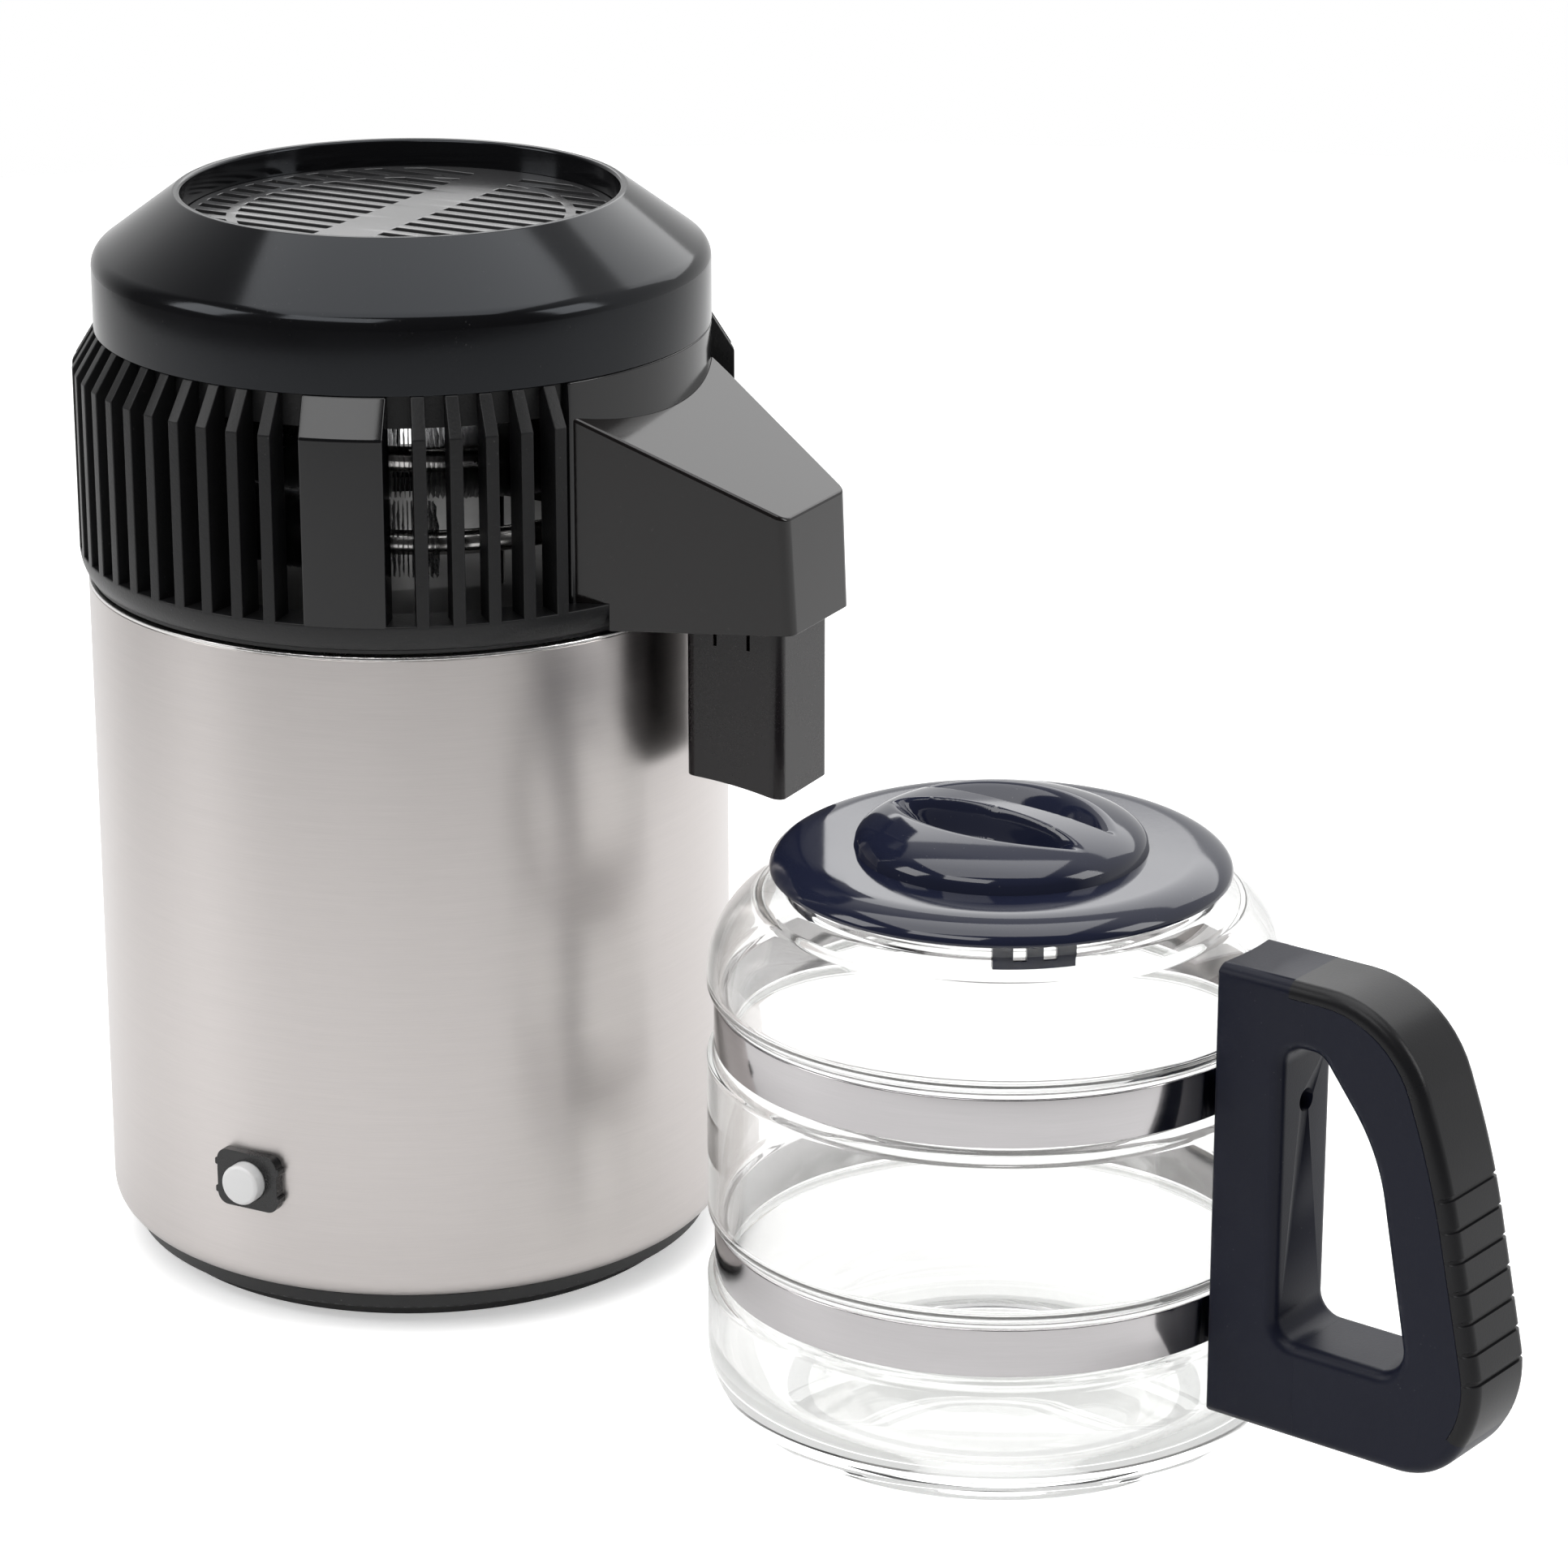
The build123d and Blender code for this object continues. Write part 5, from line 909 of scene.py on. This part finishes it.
class DISTILLER_OT_handle(bpy.types.Operator):
    """Handle, its grip strip and fasteners"""

    bl_idname = "distiller.handle"
    bl_label = "Handle"

    def execute(self, context):
        look = context.scene.distiller_finish
        satin = Finishes.plastic("handle_plastic", [c * 0.6 for c in look.navy], 0.3, 0.4, 1500.0, 0.14, 0.06,
                                 Specular_IOR_Level=0.16)
        strip = Finishes.plastic("strip_plastic", (0.008, 0.008, 0.009), 0.26, 0.36, 1300.0, 0.1,
                                 Specular_IOR_Level=0.2)
        new_piece("handle_arch", self.arch(), satin, "jug", "handle_body", 40.0, 0.15)
        place = jug_place(np.array([ARCH_START, 0.0, 0.0])) * MM
        dress("handle_body", satin, "jug", 40.0,
              cut=(tuple(place), (math.cos(JUG_ANGLE), math.sin(JUG_ANGLE), 0)))
        new_piece("grip_strip", self.strip(), strip, "jug", "handle_grip_strip", 40.0, 0.15)
        paint(Finishes.metal(*PLATED), "handle_screws", "band_nuts")
        return {"FINISHED"}

    @staticmethod
    def inward(line):
        """Unit normals to the right of a line's course in the handle's side plane."""
        course = np.gradient(line, axis=0)
        course /= np.linalg.norm(course, axis=1, keepdims=True)
        return np.stack([course[:, 1], -course[:, 0]], 1)

    @staticmethod
    def rail(back, back_normal, back_round, front, front_normal, front_round):
        """A bar between two lines of the side plane: four quarter circles join its flat flanks all along."""
        turn = np.linspace(0, np.pi / 2, 7)
        turn = np.concatenate([turn, turn[::-1]])
        side = np.repeat([1.0, -1.0], 7)

        def edge(line, normal, radius, side):
            place = line[:, None] + normal[:, None] * (radius[:, None] * (1 - np.sin(turn)))[..., None]
            across = side * (HANDLE_HALF - radius[:, None] * (1 - np.cos(turn)))
            return stacked(place[..., 0], across, place[..., 1])

        rings = np.concatenate([edge(back, back_normal, back_round, side),
                                edge(front, front_normal, front_round, -side)], 1)
        return jug_place(rings).reshape(-1, 3), capped(*rings.shape[:2])

    @classmethod
    def arch(cls):
        """The handle's bow from the top of its post round to the foot, stepped in under the grip strip."""
        back = rounded(ARCH_BACK, ARCH_BACK_ROUNDS, ARC_STEPS)
        gap = rounded(ARCH_GAP, ARCH_GAP_ROUNDS, ARC_STEPS)
        covered = 1 + 3 * ARC_STEPS
        bare = len(back) - covered + 1
        gap = np.concatenate([gap[:-1], np.linspace(gap[-2], gap[-1], bare)[1:]])
        into, away = cls.inward(back), -cls.inward(gap)
        under = back[:covered] + STRIP_DEPTH * into[:covered]
        doubled = np.r_[0:covered, covered - 1:len(back)]
        rounds = np.r_[np.full(covered, SHARP_ROUND), np.full(bare, HANDLE_ROUND)]
        return cls.rail(np.concatenate([under, back[covered - 1:]]), into[doubled], rounds, gap[doubled],
                        away[doubled], np.full(len(doubled), HANDLE_ROUND))

    @classmethod
    def strip(cls):
        """A strip of even depth along the bow's back, with shallow grooves at even steps of height."""
        back = rounded(ARCH_BACK, ARCH_BACK_ROUNDS, ARC_STEPS)[:1 + 3 * ARC_STEPS]
        back[0, 0] = STRIP_START
        run = np.concatenate([[0], np.cumsum(np.linalg.norm(np.diff(back, axis=0), axis=1))])
        groove = np.interp(-np.linspace(*GRIP_GROOVES), -back[:, 1], run)
        around = (groove[:, None] + np.array([-0.8, -0.5, 0.5, 0.8])).ravel()
        stations = np.sort(np.concatenate([run, around]))
        line = np.stack([np.interp(stations, run, back[:, 0]), np.interp(stations, run, back[:, 1])], 1)
        into = cls.inward(line)
        depth = GROOVE_CUT * (np.abs(stations[:, None] - groove).min(1) < 0.6)
        return cls.rail(line + into * depth[:, None], into, np.full(len(line), HANDLE_ROUND),
                        line + into * STRIP_DEPTH, -into, np.full(len(line), SHARP_ROUND))


class DISTILLER_OT_lid(bpy.types.Operator):
    """Jug lid with its finger bar"""

    bl_idname = "distiller.lid"
    bl_label = "Jug lid"

    def execute(self, context):
        look = context.scene.distiller_finish
        gloss = Finishes.plastic("lid_plastic", look.navy, 0.06, 0.1, 800.0, 0.015, 0.1)
        new_piece("lid_top", self.top(), gloss, "lid", "jug_lid", 50.0)
        dress("jug_lid", gloss, "lid", cut=((0, 0, LID_SPLIT * MM), (0, 0, 1)))
        return {"FINISHED"}

    @staticmethod
    def top():
        """A flange with a broad round edge, a domed knob, and two scoops either side of a finger bar.

        The knob and the flange's edge are superellipses of revolution; each scoop is the product of two eased
        steps, one in from the bar's round wall and a slower one in from the knob's rim.
        """
        turn = circle(LID_STEPS)[None, :]
        round_edge = np.sin(np.linspace(0.05, 1, 24) * np.pi / 2)
        radius = np.concatenate([np.linspace(0, KNOB_RADIUS, 90),
                                 np.linspace(KNOB_RADIUS + 0.2, FLANGE_FLAT, 12),
                                 FLANGE_FLAT + (LID_RADIUS - FLANGE_FLAT) * round_edge])[:, None]
        share = np.clip(radius / KNOB_RADIUS, 0, 1)
        knob = (KNOB_TOP - FLANGE_TOP) * (1 - share ** KNOB_POWER) ** (1 / KNOB_POWER)
        share = np.clip((radius - FLANGE_FLAT) / (LID_RADIUS - FLANGE_FLAT), 0, 1)
        edge = (1 - share ** FLANGE_POWER) ** (1 / FLANGE_POWER)
        height = LID_SPLIT + (FLANGE_TOP - LID_SPLIT) * edge + knob
        x, y = radius * np.cos(turn), radius * np.sin(turn)
        wall = SCOOP_WALL[0] - np.hypot(x, np.abs(y) - SCOOP_WALL[1])
        rim = SCOOP_RIM[0] - np.hypot(x, np.abs(y) + SCOOP_RIM[1])
        scoop = smooth_step(0, SCOOP_WALL[2], wall) * smooth_step(0, SCOOP_RIM[2], rim)
        height = height - SCOOP_DEPTH * scoop
        top = jug_place(stacked(x, y, height)).reshape(-1, 3)
        bottom = top.reshape(len(radius), -1, 3)[-1].copy()
        bottom[:, 2] = LID_SPLIT - LID_OVERLAP
        rows = len(radius) + 1
        faces = grid_quads(rows, LID_STEPS, False, True).tolist()
        faces.append(list(range((rows - 1) * LID_STEPS, rows * LID_STEPS)))
        return np.concatenate([top, bottom]), faces


class DISTILLER_OT_stage(bpy.types.Operator):
    """Floor, studio lights, pale surroundings and the camera"""

    bl_idname = "distiller.stage"
    bl_label = "Stage"

    def execute(self, context):
        scene = context.scene
        scene.view_settings.view_transform = "Standard"
        self.floor()
        self.world(scene)
        for lamp in LAMPS:
            self.soft_box(*lamp)
        camera = bpy.data.objects.new("camera", bpy.data.cameras.new("camera"))
        scene.collection.objects.link(camera)
        camera.location = CAMERA_PLACE
        camera.rotation_euler = [math.radians(angle) for angle in CAMERA_TURN]
        camera.data.sensor_width = CAMERA_SENSOR
        camera.data.lens = CAMERA_LENS
        scene.camera = camera
        return {"FINISHED"}

    @staticmethod
    def floor():
        """A flat disc of floor, part lit and part bright to the camera, so that its shadow stays soft."""
        ring = circle(FLOOR_STEPS)
        x = FLOOR_RADIUS * np.cos(ring) + FLOOR_CENTRE[0]
        y = FLOOR_RADIUS * np.sin(ring) + FLOOR_CENTRE[1]
        mesh = bpy.data.meshes.new("floor")
        mesh.from_pydata(stacked(x, y, 0 * ring).tolist(), [], [list(range(FLOOR_STEPS))])
        floor = bpy.data.objects.new("floor", mesh)
        bpy.context.scene.collection.objects.link(floor)
        material, tree, shader = Finishes.start("floor_white", Base_Color=(0.86, 0.86, 0.86, 1),
                                                Roughness=0.6)
        seen = new_node(tree, "LightPath").outputs["Is Camera Ray"]
        glow = new_node(tree, "Emission", Color=(1, 1, 1, 1),
                        Strength=math_node(tree, "MULTIPLY", seen, FLOOR_GLOW))
        total = new_node(tree, "AddShader")
        feed(tree, total.inputs[0], shader.outputs[0])
        feed(tree, total.inputs[1], glow.outputs[0])
        feed(tree, tree.nodes["Material Output"].inputs["Surface"], total.outputs[0])
        mesh.materials.append(material)

    @staticmethod
    def world(scene):
        """White to the camera and through glass; to gloss a white backdrop behind and a dim room in front."""
        world = bpy.data.worlds.new("studio")
        scene.world = world
        world.use_nodes = True
        tree = world.node_tree
        tree.nodes.clear()
        path = new_node(tree, "LightPath").outputs
        split = new_node(tree, "SeparateXYZ", Vector=new_node(tree, "TexCoord").outputs["Generated"])
        behind = range_node(tree, split.outputs[1], -0.1, 0.45, 0.06, 0.85)
        passed = math_node(tree, "GREATER_THAN", path["Transmission Depth"], 0.5)
        seen = math_node(tree, "MAXIMUM", path["Is Camera Ray"], path["Is Transmission Ray"])
        seen = math_node(tree, "MAXIMUM", seen, math_node(tree, "MULTIPLY", passed, 0.8))
        plain = math_node(tree, "MULTIPLY", path["Is Diffuse Ray"], 0.42)
        gloss = math_node(tree, "MULTIPLY", path["Is Glossy Ray"], behind)
        lit = math_node(tree, "MAXIMUM", plain, gloss)
        background = new_node(tree, "Background", Color=(1, 1, 1, 1),
                              Strength=math_node(tree, "MAXIMUM", seen, lit))
        new_node(tree, "OutputWorld", Surface=background.outputs[0])

    @staticmethod
    def soft_box(name, place, target, size, power):
        """A rectangular area lamp that faces a target."""
        lamp = bpy.data.lights.new(name, "AREA")
        lamp.shape = "RECTANGLE"
        lamp.size, lamp.size_y = size
        lamp.energy = power
        box = bpy.data.objects.new(name, lamp)
        box.location = place
        box.rotation_euler = (Vector(target) - Vector(place)).to_track_quat("-Z", "Y").to_euler()
        bpy.context.scene.collection.objects.link(box)


class DISTILLER_PT_panel(bpy.types.Panel):
    """Lists the distiller's pieces and settings in the sidebar"""

    bl_idname = "DISTILLER_PT_panel"
    bl_label = "Distiller"
    bl_space_type = "VIEW_3D"
    bl_region_type = "UI"
    bl_category = "Distiller"

    def draw(self, context):
        for settings in (context.scene.distiller_finish, context.scene.distiller_shape):
            for label in settings.bl_rna.properties.keys():
                if label not in ("rna_type", "name"):
                    self.layout.prop(settings, label)
        for operator in OPERATORS:
            self.layout.operator(operator.bl_idname)


OPERATORS = (
    DISTILLER_OT_boiler, DISTILLER_OT_reset, DISTILLER_OT_vents, DISTILLER_OT_dome, DISTILLER_OT_condenser,
    DISTILLER_OT_spout, DISTILLER_OT_jug, DISTILLER_OT_handle, DISTILLER_OT_lid, DISTILLER_OT_stage,
)
CLASSES = (DistillerFinish, DistillerShape, *OPERATORS, DISTILLER_PT_panel)


def register():
    """Registers the classes and hangs the settings on the scene."""
    for cls in CLASSES:
        bpy.utils.register_class(cls)
    bpy.types.Scene.distiller_finish = PointerProperty(type=DistillerFinish)
    bpy.types.Scene.distiller_shape = PointerProperty(type=DistillerShape)


def unregister():
    """Takes the settings and the classes away again."""
    del bpy.types.Scene.distiller_shape
    del bpy.types.Scene.distiller_finish
    for cls in reversed(CLASSES):
        bpy.utils.unregister_class(cls)


def main():
    """Builds every piece and the stage."""
    register()
    bpy.ops.distiller.boiler()
    bpy.ops.distiller.reset()
    bpy.ops.distiller.vents()
    bpy.ops.distiller.dome()
    bpy.ops.distiller.condenser()
    bpy.ops.distiller.spout()
    bpy.ops.distiller.jug()
    bpy.ops.distiller.handle()
    bpy.ops.distiller.lid()
    bpy.ops.distiller.stage()


if __name__ == "__main__":
    main()
